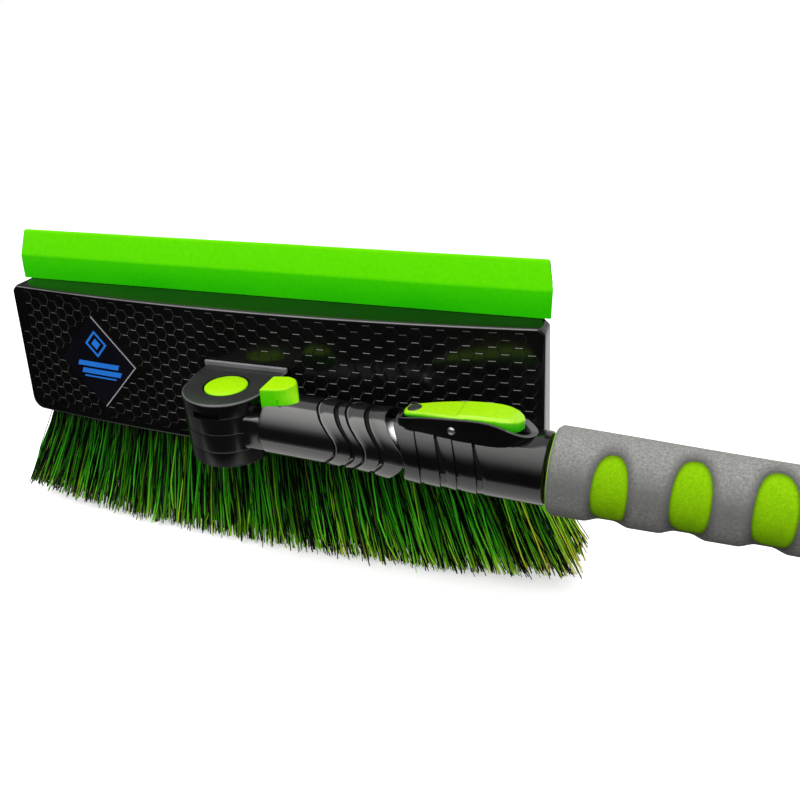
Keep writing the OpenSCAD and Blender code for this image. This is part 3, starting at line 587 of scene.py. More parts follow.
def make_badge():
    """A plain diamond plate with a bright edge, a small diamond and three bars."""
    n, corners = 12, [(1, 0), (0, 1), (-1, 0), (0, -1)]
    points = []
    for scale, h in ((1.0, -0.3), (1.0, 0.35), (0.975, 0.5)):
        for a, b in zip(corners, corners[1:] + corners[:1]):
            for f in np.arange(n) / n:
                points.append(badge_point((a[0] + (b[0] - a[0]) * f) * BADGE_W * scale,
                                          (a[1] + (b[1] - a[1]) * f) * BADGE_H * scale, h))
    m = 4 * n
    points.append(badge_point(0, 0, 0.5))
    faces = grid(3, m, wrap=True).tolist() + [[2 * m + k, 2 * m + (k + 1) % m, 3 * m] for k in range(m)]
    piece("badge_plate", (points, faces), "head", [badge_black], "badge", crisp=True)
    sides = [int(i % 4 in (1, 2)) for i in range(12)]
    outward(piece("badge_edge", diamond_ring(1.0, 0.968, 0.6), "head", [badge_silver, badge_black],
                  kinds=sides))
    marks = merged(diamond_ring(0.29, 0.225, BADGE_MARK, 0.4, 11.0),
                   diamond_ring(0.12, 0.001, BADGE_MARK, 0.4, 11.0), badge_bar(-15.5, 13.0, -1.6, 1.5),
                   badge_bar(-13.5, 14.0, -6.0, 1.5), badge_bar(-12.0, 10.5, -9.2, 0.45))
    outward(piece("badge_mark", marks, "head", [badge_blue]))


make_cover()
make_hexagons()
make_badge()

# ------------------------------------------------------------------ head: foam pusher and brush

FOAM_HALF, FOAM_SHIFT = 151.9, -2.6


def make_pusher():
    """The foam pusher: a leaning wedge with soft edges, slightly uneven, its front longer at one end."""
    section = [(46.0, 46.9), (46.2, 52.0), (46.95, 59.4), (47.15, 60.2), (47.6, 61.0), (53.5, 71.7),
               (54.3, 72.8), (54.9, 73.15), (55.7, 72.9), (61.0, 66.0), (67.3, 58.0), (67.9, 57.0),
               (68.4, 52.0), (69.0, 46.9)]
    xs = np.concatenate([[-FOAM_HALF, -FOAM_HALF + 0.5], np.linspace(-FOAM_HALF + 2, FOAM_HALF - 2, 90),
                         [FOAM_HALF - 0.5, FOAM_HALF]])
    ring = np.array(section)
    away = ring - ring.mean(0)
    away /= np.linalg.norm(away, axis=1)[:, None]
    points = []
    for k, x in enumerate(xs):
        inset = {0: 0.5, 1: 0.12, len(xs) - 2: 0.12, len(xs) - 1: 0.5}.get(k, 0)
        wave = 0.14 * math.sin(x * 0.043 + 1) + 0.08 * math.sin(x * 0.117)
        flare = 3.0 * (k > len(xs) - 3)
        for y, z in ring - away * inset:
            points.append([x + FOAM_SHIFT + flare * (1 - smoothstep(48, 54, y)), y + wave * (z > 50), z])
    faces = loft(len(xs), len(section), turned=True)
    obj = outward(piece("foam_pusher", (points, faces), "head", [pusher_foam], "foam_blade",
                        sharp=50))


def make_bristle_row(row):
    """One row of tufts of loose strands, each a bent prism with a tint of its own, with painted shade
    towards its root and painted light towards its tip.
    """
    root_z, root_half, floor_z = -24.0, 143.5, -101.4
    per_tuft, ring_r = 30, BOW_R - 8 - 7.6 * row
    tufts = np.append(np.linspace(-root_half + 1.5, root_half - 1.5, 54), -root_half + 2.5)
    # where each strand starts and ends
    x0 = np.repeat(tufts, per_tuft) + rng.uniform(-2.6, 2.6, per_tuft * len(tufts))
    count = len(x0)
    y0 = FACE_Y + BOW_R - np.sqrt(ring_r ** 2 - x0 ** 2) + rng.uniform(-2.0, 2.0, count)
    reach = x0 / root_half
    stray = rng.random(count) > 0.97
    lean = rng.normal(0, 2.8, count) + np.where(stray, rng.normal(0, 7, count), 0)
    x1 = np.minimum(reach * np.where(reach < 0, 181.5, 173.0) + lean, 176)
    x1 = np.maximum(x1 + 0.65 * np.maximum(-180.5 - x1, 0), -184.5)
    y1 = y0 + (row - 1.5) * 1.6 + rng.normal(0, 1.8, count)
    drop = 8.5 * np.abs(reach) ** 4
    green = rng.random(count) < 0.52
    short = np.where(rng.random(count) > 0.93, rng.uniform(0, 8, count), 0)
    tip = np.where(green, -97.6, -97.9)
    z1 = np.maximum(floor_z, tip + drop + rng.normal(0, 0.85, count) + short)
    # how it bends on the way
    bend = rng.normal(0, 1.6, (count, 2))
    thick = rng.uniform(0.74, 1.2, count)
    wavy = rng.normal(0, 0.55, (count, 2))
    turn = rng.uniform(0, 2 * math.pi, count)
    points = np.zeros((count, 5, 3, 3))
    for k, (t, width) in enumerate(((0, 0.4), (0.3, 0.4), (0.58, 0.41), (0.82, 0.41), (1.0, 0.35))):
        once, twice = math.sin(math.pi * t), math.sin(2 * math.pi * t)
        cx = x0 + (x1 - x0) * t ** 1.15 + bend[:, 0] * once + wavy[:, 0] * twice
        cy = y0 + (y1 - y0) * t + bend[:, 1] * once + wavy[:, 1] * twice
        for side in range(3):
            a = turn + side * 2 * math.pi / 3
            points[:, k, side, 0] = cx + width * thick * np.cos(a)
            points[:, k, side, 1] = cy + width * thick * np.sin(a)
            points[:, k, side, 2] = root_z + (z1 - root_z) * t
    faces = (grid(5, 3, wrap=True)[None] + (np.arange(count) * 15)[:, None, None]).reshape(-1, 4).tolist()
    faces += [[i * 15 + 12, i * 15 + 13, i * 15 + 14] for i in range(count)]
    # its colour: darker towards the root by painted shade, brighter towards the tip by painted light, and
    # paler towards the handle
    level = rng.uniform(0.22, 1.15, count) * (1 + 0.9 * smoothstep(0.8, 1.0, reach))
    level *= 0.92 + 0.4 * smoothstep(-0.2, 0.6, reach)
    tint = np.where(green[:, None], [0.07, 0.74, 0.02], [0.004, 0.005, 0.004]) * level[:, None]
    pale = rng.random(count) > 0.72 - 0.4 * smoothstep(0.8, 1.0, reach)
    tint[:, 0] += np.where(green & pale, rng.uniform(0.08, 0.34, count) * level, 0)
    # painted shade towards the root, painted light towards the tip
    fade = np.array([0.25, 0.6, 1.0, 1.35, 1.8])
    colours = np.ones((count, 5, 3, 4), np.float32)
    shown = np.repeat((tint[:, None] * fade[:, None])[:, :, None], 3, axis=2)
    # yellower tips on the green strands: partly their paler split ends, partly painted light
    shown[:, 3:, :, 0] += (green * level)[:, None, None] * np.array([0.08, 0.34])[:, None]
    colours[..., :3] = np.clip(shown, 0, 1)
    mesh = points.reshape(-1, 3) + [1.0, 0, 0], faces
    obj = piece(f"bristles_{row + 1}", mesh, "head", [filament], f"bristle_row_{row + 1}", sharp=80)
    layer = obj.data.attributes.new("tint", "FLOAT_COLOR", "POINT")
    layer.data.foreach_set("color", colours.ravel())


make_pusher()
for row in range(4):
    make_bristle_row(row)

# ------------------------------------------------------------------ pivot

EAR_TOP = 16.7
EAR_R = 22.0
PLATE_Y = 25.6
NOTCH_AT, NOTCH_DEEP = 270, 2.4
NOTCH = math.degrees(math.asin(7.0 / EAR_R))


def make_cap():
    """The flat green cap over the bolt."""
    r, top = 10.8, EAR_TOP
    profile = [(r, 14.6), (r, top - 0.4), (r - 0.15, top - 0.15), (r - 0.45, top + 0.02),
               (r - 1.1, top + 0.16), (r * 0.6, top + 0.34), (r * 0.3, top + 0.41), (0.6, top + 0.42)]
    outward(piece("cap", lathe(profile, 72, (0, 0, 0)), "head", [lime_plastic], "pivot_cap",
                  sharp=40, turned=False))


def ear_outline(cuts=()):
    """A knuckle lug from above: round in front, with points at a notch's cuts, and squared off behind."""
    inside = [a for a in np.linspace(180, 360, 61) if all(abs(a - c) > 1.0 for c in cuts)]
    angles = map(math.radians, sorted(inside + list(cuts)))
    arc = [(EAR_R * math.cos(a), EAR_R * math.sin(a)) for a in angles]
    back = PLATE_Y + 0.3
    half = [(22.25, 2.0), (22.8, 4.0), (23.3, 6.5), (23.3, 12.0), (23.3, 19.0), (23.3, back),
            (16.0, back), (8.0, back), (0.0, back)]
    return np.array(arc + half + [(-x, y) for x, y in half[-2::-1]])


def make_bracket():
    """The two ears, the plate and the rim on it. The upper ear has a notch and a recess for the cap."""
    outline = ear_outline([NOTCH_AT + d * side for d in (NOTCH, NOTCH + 0.15) for side in (-1, 1)])
    levels = [(9.0, 0.3), (9.08, 0.1), (9.35, 0), (11.9, 0), (12.1, 0), (15.3, 0), (15.75, 0.1),
              (16.15, 0.34), (16.45, 0.72), (16.63, 1.15), (EAR_TOP, 1.7)]
    points, faces = layered(outline, levels, high_cap=False)
    count = len(outline)
    angle = np.degrees(np.arctan2(outline[:, 1], outline[:, 0])) % 360
    for k in range(4):
        ring = points[k * count:(k + 1) * count]
        ring[np.abs(angle - NOTCH_AT) < NOTCH + 0.05, :2] *= (EAR_R - NOTCH_DEEP) / EAR_R
    a, rings = np.radians(angle), []
    for r, sunk in ((15.0, 0), (11.75, 0), (11.5, 0.12), (11.4, 0.6), (10.85, 0.7)):
        rings.append(np.column_stack([r * np.cos(a), r * np.sin(a), np.full(count, EAR_TOP - sunk)]))
    chain = [(len(levels) - 1) * count] + [len(points) + k * count for k in range(len(rings))]
    points = np.concatenate([points] + rings)
    for a, b in zip(chain, chain[1:]):
        faces += [[a + i, a + (i + 1) % count, b + (i + 1) % count, b + i] for i in range(count)]
    lower = layered(ear_outline(), [(-18.9, 2.6), (-18.8, 1.95), (-18.5, 1.3), (-18.0, 0.85), (-17.3, 0.5),
                                    (-10.1, 0.3), (-9.82, 0.38), (-9.7, 0.6)])
    plate_outline = rounded([(-27, -20.5), (27, -20.5), (27, 23), (-27, 23)], [3, 3, 3, 3])
    plate, plate_faces = layered(plate_outline, [(0, 0), (3.6, 0), (4.1, 0.15), (4.4, 0.6)])
    plate = plate[:, [0, 2, 1]] * [1, -1, 1] + [0, 30.0, 0]
    rim = [(20.6 + 0.95 * math.cos(a), 18.25 + 0.95 * math.sin(a)) for a in np.linspace(0, math.pi, 13)]
    rim = np.array([(21.55, 15.9)] + rim + [(19.65, 15.9)])
    middle = rim.mean(0)
    ends = [(-23.9, 0.55), (-23.65, 0.85), (-23.1, 1.0), (23.1, 1.0), (23.65, 0.85), (23.9, 0.55)]
    rim_points = [np.column_stack([np.full(len(rim), x), middle + (rim - middle) * k]) for x, k in ends]
    rim_faces = loft(len(ends), len(rim), turned=True)
    mesh = merged((points, faces), lower, (plate, plate_faces), (np.concatenate(rim_points), rim_faces))
    # the rim bar is a light grey as a painted highlight
    satin, rim_lit, groove, ledge, top = range(5)
    kinds = [satin] * (len(mesh[1]) - len(rim_faces)) + [rim_lit] * len(rim_faces)
    # painted highlight: the band at the upper ear's top edge is a dim light grey
    kinds[7 * count:9 * count] = [ledge] * (2 * count)
    # painted reflection: the ear's top is a dark grey lighter than the sides
    kinds[9 * count:12 * count + 1] = [top] * (3 * count + 1)
    # painted shade: the notch is matt black
    for column in np.flatnonzero(np.abs(angle - NOTCH_AT) < NOTCH + 0.2):
        for k in range(4):
            kinds[k * count + column] = groove
    # painted shade: the lower ear's foot is matt black
    under = 4 * len(ear_outline())
    kinds[len(faces):len(faces) + under] = [groove] * under
    looks = [satin_black, rim_highlight_grey, shade_black, dim_highlight_grey, sheen_grey]
    piece("pivot_bracket_body", mesh, "head", looks, "pivot_bracket", kinds=kinds, sharp=48,
          crisp=True)


make_bracket()
make_cap()
softened("rear_housing", "head", [matt_black], width=0.6)
softened("brush_block", "head", [matt_black], width=0.4)

# ------------------------------------------------------------------ neck

NECK_R = 15.6
BARREL = 25.4
PARTING = -4.0


def columns(extra):
    """Angles for a round of columns, with extra ones where a line runs lengthwise."""
    return np.sort(np.concatenate([np.arange(-180, 180, 2.5) + 0.2, extra]))


def stations_of(guides):
    """Cross-sections at the guides and between them.

    Each has its (top x, front x), its offset along the handle, its change of radius and its surface kind.
    """
    stations = []
    for k, (ends, marks) in enumerate(guides):
        for n, (dx, dr, kind) in enumerate(marks):
            stations.append((ends, dx, dr, kind))
            if n == len(marks) - 1 and k < len(guides) - 1:
                after, (dx2, dr2, _) = guides[k + 1][0], guides[k + 1][1][0]
                for f in (0.25, 0.5, 0.75):
                    mid = tuple(a * (1 - f) + b * f for a, b in zip(ends, after))
                    stations.append((mid, dx * (1 - f) + dx2 * f, dr * (1 - f) + dr2 * f, 0))
    return stations


def folded(degrees):
    """The angle measured from the front, the same on the far side as on the near side."""
    t = (np.asarray(degrees, float) + 90) % 360 - 90
    return np.where(t > 90, 180 - t, t)


def make_neck():
    """The neck's two shells, parted below the middle: a tongue, a waist and a grooved barrel."""
    # kind 1 is painted shade, a matt black in the grooves' bottoms; kind 2 is a painted highlight, a lighter
    # grey on the lip after a thin groove
    thin = [(-1.3, 0.0, 1), (-0.75, -0.75, 1), (-0.25, -0.8, 1), (0.0, 0.12, 2), (0.3, 0.4, 2),
            (0.62, 0.34, 0), (1.9, 0.08, 0)]
    wide = [(-1.5, 0.1, 1), (-1.2, -0.5, 1), (-0.8, -1.0, 1), (0.6, -1.15, 1), (0.95, -0.4, 1),
            (1.2, 0.15, 0), (2.0, 0.12, 0)]
    step = [(0.0, -0.35, 0), (0.15, -0.12, 0), (0.5, 0.0, 0), (2.0, 0.0, 0), (6, 0.0, 0), (14, 0.0, 0)]
    mouth = [(-7, 0.2, 0), (-4.5, 0.45, 0), (-1.0, 0.6, 0), (-0.3, 0.5, 0), (0, 0.15, 0), (0, -3.2, 0),
             (-7.5, -3.6, 0), (-7.6, -4.35, 0)]
    guides = [((BARREL, BARREL), step), ((53.2, 67.0), thin), ((62.4, 75.8), wide), ((67.9, 81.9), thin),
              ((78.0, 90.3), wide), ((87.5, 100.9), mouth)]
    seam = [PARTING - 0.7, PARTING - 0.3, PARTING + 0.3, PARTING + 0.7]
    theta = columns(seam + [180 - a for a in seam])
    lean = swoop(theta)
    t = folded(theta)
    beneath = smoothstep(-12, -55, t)
    line = np.where(np.abs(t - PARTING) < 0.5, -0.22, 0.0)
    rows, kinds = [], []
    # the waist grows out of the flat knuckle into the round barrel
    high = np.where(t > 0, 8.85, 9.55)
    c = np.maximum(np.cos(np.radians(t)), 1e-6)
    si = np.maximum(np.abs(np.sin(np.radians(t))), 1e-6)
    begin = 16.6 + 5.0 * smoothstep(34, 60, np.abs(t))
    for f in (0.0, 0.05, 0.12, 0.2, 0.3, 0.5, 0.7, 0.84, 0.93, 0.98):
        rise = 1 - math.sqrt(1 - f ** 2)
        tuck = 0.7 if f == 0 else 0.0
        half = 14.4 + 0.6 * (1 - float(smoothstep(0, 0.32, f)))
        flat = ((half / c) ** -9 + (high / si) ** -9) ** (-1 / 9)
        rows.append(polar(begin + (BARREL - begin) * f, flat - tuck + (NECK_R - 0.35 - flat) * rise, theta))
        kinds.append(0)
    for (top, middle), dx, dr, kind in stations_of(guides):
        x = top + (middle - top) * lean + dx
        flare = 0.55 * smoothstep(56, 92, x)
        swell = np.where(abs(dr) < 1.5, 1 + 0.9 * beneath * (dr > 0) - 0.45 * beneath * (dr < 0), 1)
        rows.append(polar(x, NECK_R + flare + dr * swell + line, theta))
        kinds.append(kind)
    points = np.stack(rows).reshape(-1, 3)
    cols = len(theta)
    faces = grid(len(rows), cols, wrap=True)
    column, row = faces[:, 0] % cols, faces[:, 0] // cols
    angle, front = theta[column], t[column]
    kind = np.array(kinds)[row]
    kind = np.where((kind == 1) & (front < -14), 0, kind)
    kind = np.where((kind == 2) & ((front < -8) | (front > 84)), 0, kind)
    upper = (angle > PARTING - 0.1) | (angle < -180 - PARTING - 0.1)
    tongue = make_tongue()
    for name, mask, part, node in (("neck_upper", upper, tongue[0], "neck_upper_shell"),
                                   ("neck_lower", ~upper, tongue[1], "neck_lower_shell")):
        p, f = merged((points, faces[mask]), part)
        piece(name, compact(p, f)[:2], "neck", [neck_black, shade_black, shine_grey], node,
              kinds=list(kind[mask]) + [0] * len(part[1]), sharp=38, crisp=True)


def make_tongue():
    """The upper and lower half of the round tongue between the ears, blended into the waist."""
    r, half = 21.75, 14.4
    a = math.degrees(math.asin((half + 2.6) / r))
    arc = [(r * math.cos(t), r * math.sin(t)) for t in map(math.radians, np.linspace(a, 360 - a, 72))]
    blend = [(14.5, -half - 1.65), (15.5, -half - 1.05), (16.5, -half - 0.6), (17.2, -half - 0.35),
             (17.9, -12.9), (18.6, -11.6), (20.2, -10.2), (22.6, -8.0)]
    outline = arc + blend + [(x, -y) for x, y in blend[::-1]]
    return slab(outline, 0.1, 8.8, 0.3), slab(outline, -9.5, -0.1, 0.3)


make_neck()

# ------------------------------------------------------------------ release button

def make_button():
    """The push button: a small top that widens down its sides, its locking tooth and its mark."""
    top = rounded([(24.4, -8.3), (33.0, -6.3), (37.6, -3.2), (39.4, 3.0), (36.0, 7.8), (31.5, 9.2),
                   (23.5, 6.8)], [0.8, 2.0, 1.6, 2.5, 2.0, 1.5, 1.0])
    low = rounded([(24.6, -8.6), (33.0, -7.3), (39.1, -5.7), (43.2, -3.3), (39.9, 1.5), (37.0, 7.0),
                   (24.6, 8.4)], [0.8, 2.0, 2.0, 1.5, 2.5, 2.0, 0.8])
    middle = top.mean(0)
    rings = []
    # each level has its height, how much of the low outline it has, and how far its edge is drawn in
    for z, f, inset in ((9.4, 1.0, 0.0), (13.0, 1.0, 0.0), (15.2, 0.95, 0.0), (18.0, 0.45, 0.0),
                        (20.8, 0.03, 0.0), (21.5, 0.0, 0.2), (21.85, 0.0, 0.55), (22.05, 0.0, 1.1)):
        p = top * (1 - f) + low * f
        away = p - middle
        p = p - away / np.linalg.norm(away, axis=1)[:, None] * inset
        rings.append(np.column_stack([p, np.full(len(p), z)]))
    body = np.concatenate(rings), loft(len(rings), len(top))
    tooth = slab([(22.7, -3), (26, -3), (26, 3), (22.7, 3)], 9.6, 12.1, 0.2)
    mark = slab([(32.85, -7.55), (33.1, -7.5), (33.1, -6.3), (32.85, -6.3)], 14.6, 17.4, 0.05)
    piece("button", merged(body, tooth, mark), "button", [lime_plastic], "release_button",
          sharp=42, crisp=True)


def make_spring():
    """The coil spring under the button, made at its full length, though the button's travel shortens it."""
    low, height, travel, wire, turns = -8.45, 14.4, 4.0, 0.45, 6
    middle_x, coil_r = 31, 3.4
    a = np.linspace(0, 2 * math.pi * turns, turns * 16 + 1)[:, None]
    b = np.linspace(0, 2 * math.pi, 8, endpoint=False)[None, :]
    reach = coil_r + wire * np.cos(b)
    z = low + wire + (height - 2 * wire) * a / a.max() + wire * np.sin(b)
    points = np.stack([middle_x + reach * np.cos(a), reach * np.sin(a), z], -1).reshape(-1, 3)
    obj = outward(piece("button_coil", (points, loft(len(a), b.size)), "neck", [steel_metal],
                        "button_spring", sharp=50))
    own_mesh(obj)


make_button()
make_spring()

# ------------------------------------------------------------------ collar, cradle and lever

COLLAR_R = 16.6
BED_Z = 13.7


def make_collar():
    """The locking collar: grooves that fade out below, a flat bed for the cradle, and the screw's seat."""
    # kind 1 is painted shade: a matt black in the grooves' bottoms
    narrow = [(-0.9, 0.2, 0), (-0.45, 0.24, 1), (-0.3, -0.7, 1), (0.25, -0.75, 1), (0.42, 0.0, 0),
              (0.9, 0.05, 0)]
    broad = [(-1.3, 0.2, 0), (-0.85, 0.28, 1), (-0.65, -0.75, 1), (0.8, -0.9, 1), (1.1, -0.1, 0),
             (1.8, 0.05, 0)]
    mouth = [(0, -3.0, 0), (0, -0.5, 0), (0.25, -0.15, 0), (0.7, 0, 0)]
    tail = [(-14, 0, 0), (-7, 0, 0), (-1.6, 0, 0), (-0.8, -0.2, 0), (-0.2, -0.75, 0), (0, -1.6, 0),
            (0, -3.85, 0)]
    guides = [((93.0, 100.6), mouth), ((103.0, 108.9), narrow), ((112.6, 119.0), broad),
              ((120.4, 126.0), narrow), ((130.0, 135.8), broad), ((163.3, 163.3), tail)]
    theta = columns([-35.0, -32.0])
    t = folded(theta)
    slope = np.interp(t, [-90, -40, -16, 0, 10, 20, 35, 43, 50, 62, 90],
                      [0.55, 0.86, 1.0, 0.98, 0.9, 0.78, 0.5, 0.35, 0.2, 0.0, -0.1])
    fade = 0.25 + 0.75 * smoothstep(-34, -6, t)
    spread = 0.6 + 1.0 * smoothstep(50, -5, t)
    rows, kinds = [], [0]
    for (top, low), dx, dr, kind in stations_of(guides):
        x = top + (low - top) * slope + dx * (spread if top != low else 1)
        r = COLLAR_R + (dr if abs(dr) > 1.5 or top == low else dr * np.where(dr > 0, 2.2 - fade, fade))
        rows.append(polar(x, r, theta))
        kinds.append(kind)
    rows = [polar(rows[0][:, 0] + 9, 12.75, theta)] + rows
    points = np.stack(rows)
    x, y, z = points[..., 0], points[..., 1], points[..., 2]
    bed = (np.abs(y) < 9.8) & (x < 152) & (x > 100) & (z > 0)
    points[..., 2] = np.where(bed, np.minimum(z, BED_Z), z)
    faces = grid(len(rows), len(theta), wrap=True)
    kind = np.array(kinds)[faces[:, 0] // len(theta)]
    kind = np.where(t[faces[:, 0] % len(theta)] < -9, 0, kind)
    piece("collar", (points.reshape(-1, 3), faces), "handle", [collar_black, shade_black],
          "clamp_collar", kinds=kind, sharp=36, crisp=True)
    turn = math.radians(5)
    middle = (161.4, -COLLAR_R * math.sin(turn), COLLAR_R * math.cos(turn))
    seat = lathe([(1.2, -0.5), (1.2, 0.1), (1.05, 0.18), (0.65, 0.18), (0.55, 0.02)], 24, middle)
    # painted shade: the screw's seat is matt black
    outward(piece("collar_screw_seat", seat, "handle", [shade_black]))


def make_cradle():
    """The boat-shaped wall round the lever: low at its nose, high amidships, with a broad ledge astern."""
    # along the handle: half the width, and the height of the near rim
    shape = np.array([(95.3, 7.4, 18.2), (96.2, 8.1, 18.4), (98, 8.4, 18.8), (101, 8.7, 19.4),
                      (104, 9.0, 20.0), (108, 9.5, 20.9), (112, 9.9, 21.6), (117, 10.3, 22.3),
                      (122, 10.6, 22.9), (127, 10.8, 23.4), (133, 10.8, 23.7), (138, 10.8, 23.5),
                      (142, 10.6, 22.6), (145.5, 10.1, 21.3), (148.5, 9.2, 19.8), (151, 8.0, 18.6),
                      (153.2, 6.6, 17.7), (155, 5.0, 17.2), (156.4, 3.1, 16.9), (157.1, 1.3, 16.8),
                      (157.3, 0.0, 16.8)])
    stations, half, height = shape.T
    between = [np.linspace(a, b, 3)[:-1] for a, b in zip(stations, stations[1:])]
    fine = np.concatenate(between + [stations[-1:]])
    w, z = np.interp(fine, stations, half), np.interp(fine, stations, height)
    near = np.column_stack([fine, -w])
    outline = np.concatenate([near, near[-2::-1] * [1, -1]])
    far = z - 2.5 * smoothstep(97, 104, fine) * (1 - smoothstep(146, 152, fine))
    rim = np.concatenate([z, far[-2::-1]])
    x, y = outline.T
    stern = smoothstep(146, 152, x)
    broad = 1.15 + 2.0 * smoothstep(146, 153, x)
    foot = np.where(np.abs(y) > 6, 11.0, 12.4)
    levels = [(foot, 0), (rim - 4.2, -0.1), (rim - 0.75, 0), (rim - 0.3, 0.12), (rim - 0.04, 0.42),
              (rim, 0.75), (rim - 0.05 - 0.5 * stern, broad), (rim - 0.6 - 0.7 * stern, broad + 0.35),
              (np.full(len(rim), 13.75), broad + 0.5)]
    points, faces = layered(outline, levels, low_cap=False, high_cap=False)
    ring, column = np.divmod(np.arange(len(faces)), len(outline))
    # painted highlight: the rim's outer edge and the ledge astern are a lighter grey
    kinds = np.where((ring == 4) | ((x[column] > 145) & (ring > 2)), 1, 0)
    obj = piece("lever_cradle_wall", (points, faces), "handle", [gloss_black, dim_highlight_grey],
                "lever_cradle", kinds=kinds, sharp=44)
    crisp_shade(obj, 44)


def make_lever():
    """The rocking lever, with its raised thumb pad, and the lock pin with the disc on top of it."""
    # along the handle: the height of the lever's top and foot, and half its width
    top_x = [96, 97.2, 100, 108, 116, 122, 128, 134, 141, 147, 150.5, 152]
    top_z = [18.9, 19.55, 20.15, 21.4, 22.35, 22.95, 23.55, 23.95, 24.1, 23.6, 22.6, 21.4]
    low_x = [95, 100, 108, 120, 128, 134, 141, 147, 152]
    low_z = [17.0, 17.2, 18.1, 19.0, 19.2, 19.0, 18.0, 17.6, 18.2]
    half_x = [96, 96.5, 97.5, 99, 104, 112, 119, 126, 138, 143.5, 147.5, 149.8, 150.8, 151.2]
    half_w = [1.8, 3.2, 4.2, 4.6, 5.4, 7.0, 8.0, 8.5, 8.5, 7.7, 6.0, 4.0, 2.2, 0.8]
    xs = np.concatenate([np.linspace(96, 98, 6), np.linspace(98.6, 121, 26), np.linspace(121.5, 124.5, 9),
                         np.linspace(125.5, 145, 22), np.linspace(146, 151.2, 14)])
    rows = []
    for x in xs:
        w, zt, zl = np.interp(x, half_x, half_w), np.interp(x, top_x, top_z), np.interp(x, low_x, low_z)
        edge = min(0.9, w * 0.4)
        pad = 0.6 * smoothstep(122.2, 123.4, x) * (1 - smoothstep(144, 150, x))
        flat = max(w - edge - 1.0, 0.2)
        right = [(0, zt + pad), (flat, zt + pad), (flat + 0.45, zt + pad * 0.25), (w - edge, zt - 0.02),
                 (w - edge * 0.35, zt - edge * 0.32), (w, zt - edge), (w + 0.1, (zt + zl) / 2),
                 (w - 0.2, zl + 0.4), (w - 0.7, zl), (0, zl)]
        rows.append([[x, y, z] for y, z in right + [(-y, z) for y, z in right[-2:0:-1]]])
    points = np.array(rows)
    faces = loft(len(xs), points.shape[1], turned=True)
    piece("lever", (points.reshape(-1, 3), faces), "lever", [lever_lime], "lock_lever",
          sharp=38, crisp=True)
    tilt = math.atan(0.155)
    disc, disc_faces = lathe([(3.35, -0.8), (3.35, 0.1), (3.15, 0.24), (0.4, 0.26)], 40, (0, 0, 0))
    c, s = math.cos(tilt), math.sin(tilt)
    x, y, z = disc.T
    disc = np.column_stack([x * c - z * s + 100.6, y, x * s + z * c + 20.32])
    stem = lathe([(2.0, 11.55), (2.0, 19.6)], 32, (100.5, 0, 0))
    pin = merged((disc, disc_faces), stem)
    outward(piece("pin", pin, "lever", [pin_metal], "lock_pin"))


make_collar()
make_cradle()
make_lever()

# ------------------------------------------------------------------ grips

GRIP_BORE = 12.85
END_STEPS = np.array([0, 0.3, 0.8, 1.4, 2.2])    # stations that round a grip's ends


def grip_pieces(points, theta, faces, lime, window_shade, ends, core, skin):
    """A grip's lime core, with its end faces, and its grey skin.

    core and skin are each a piece's name and its CAD node.
    """
    n = len(theta)
    last_row = len(points) // n - 1
    for (name, node), mask, slot, look in ((core, lime, "foam_lime", grip_lime),
                                           (skin, ~lime, "foam_grey", grip_grey)):
        p, f, darkness = list(points), faces[mask].tolist(), list(window_shade)
        if look is grip_lime:
            for row, x in zip((0, last_row), ends):
                ring = len(p)
                p += list(polar(np.full(n, x), GRIP_BORE, theta))
                darkness += [0.0] * n
                f += [[row * n + i, row * n + (i + 1) % n, ring + (i + 1) % n, ring + i] for i in range(n)]
        p, f, used = compact(p, f)
        obj = piece(name, (p, f), "handle", [look], node, sharp=60)
        # the attribute holds painted shade round the windows
        layer = obj.data.attributes.new("window_shade", "FLOAT", "POINT")
        layer.data.foreach_set("value", np.array(darkness, np.float32)[used])
        outward(obj)


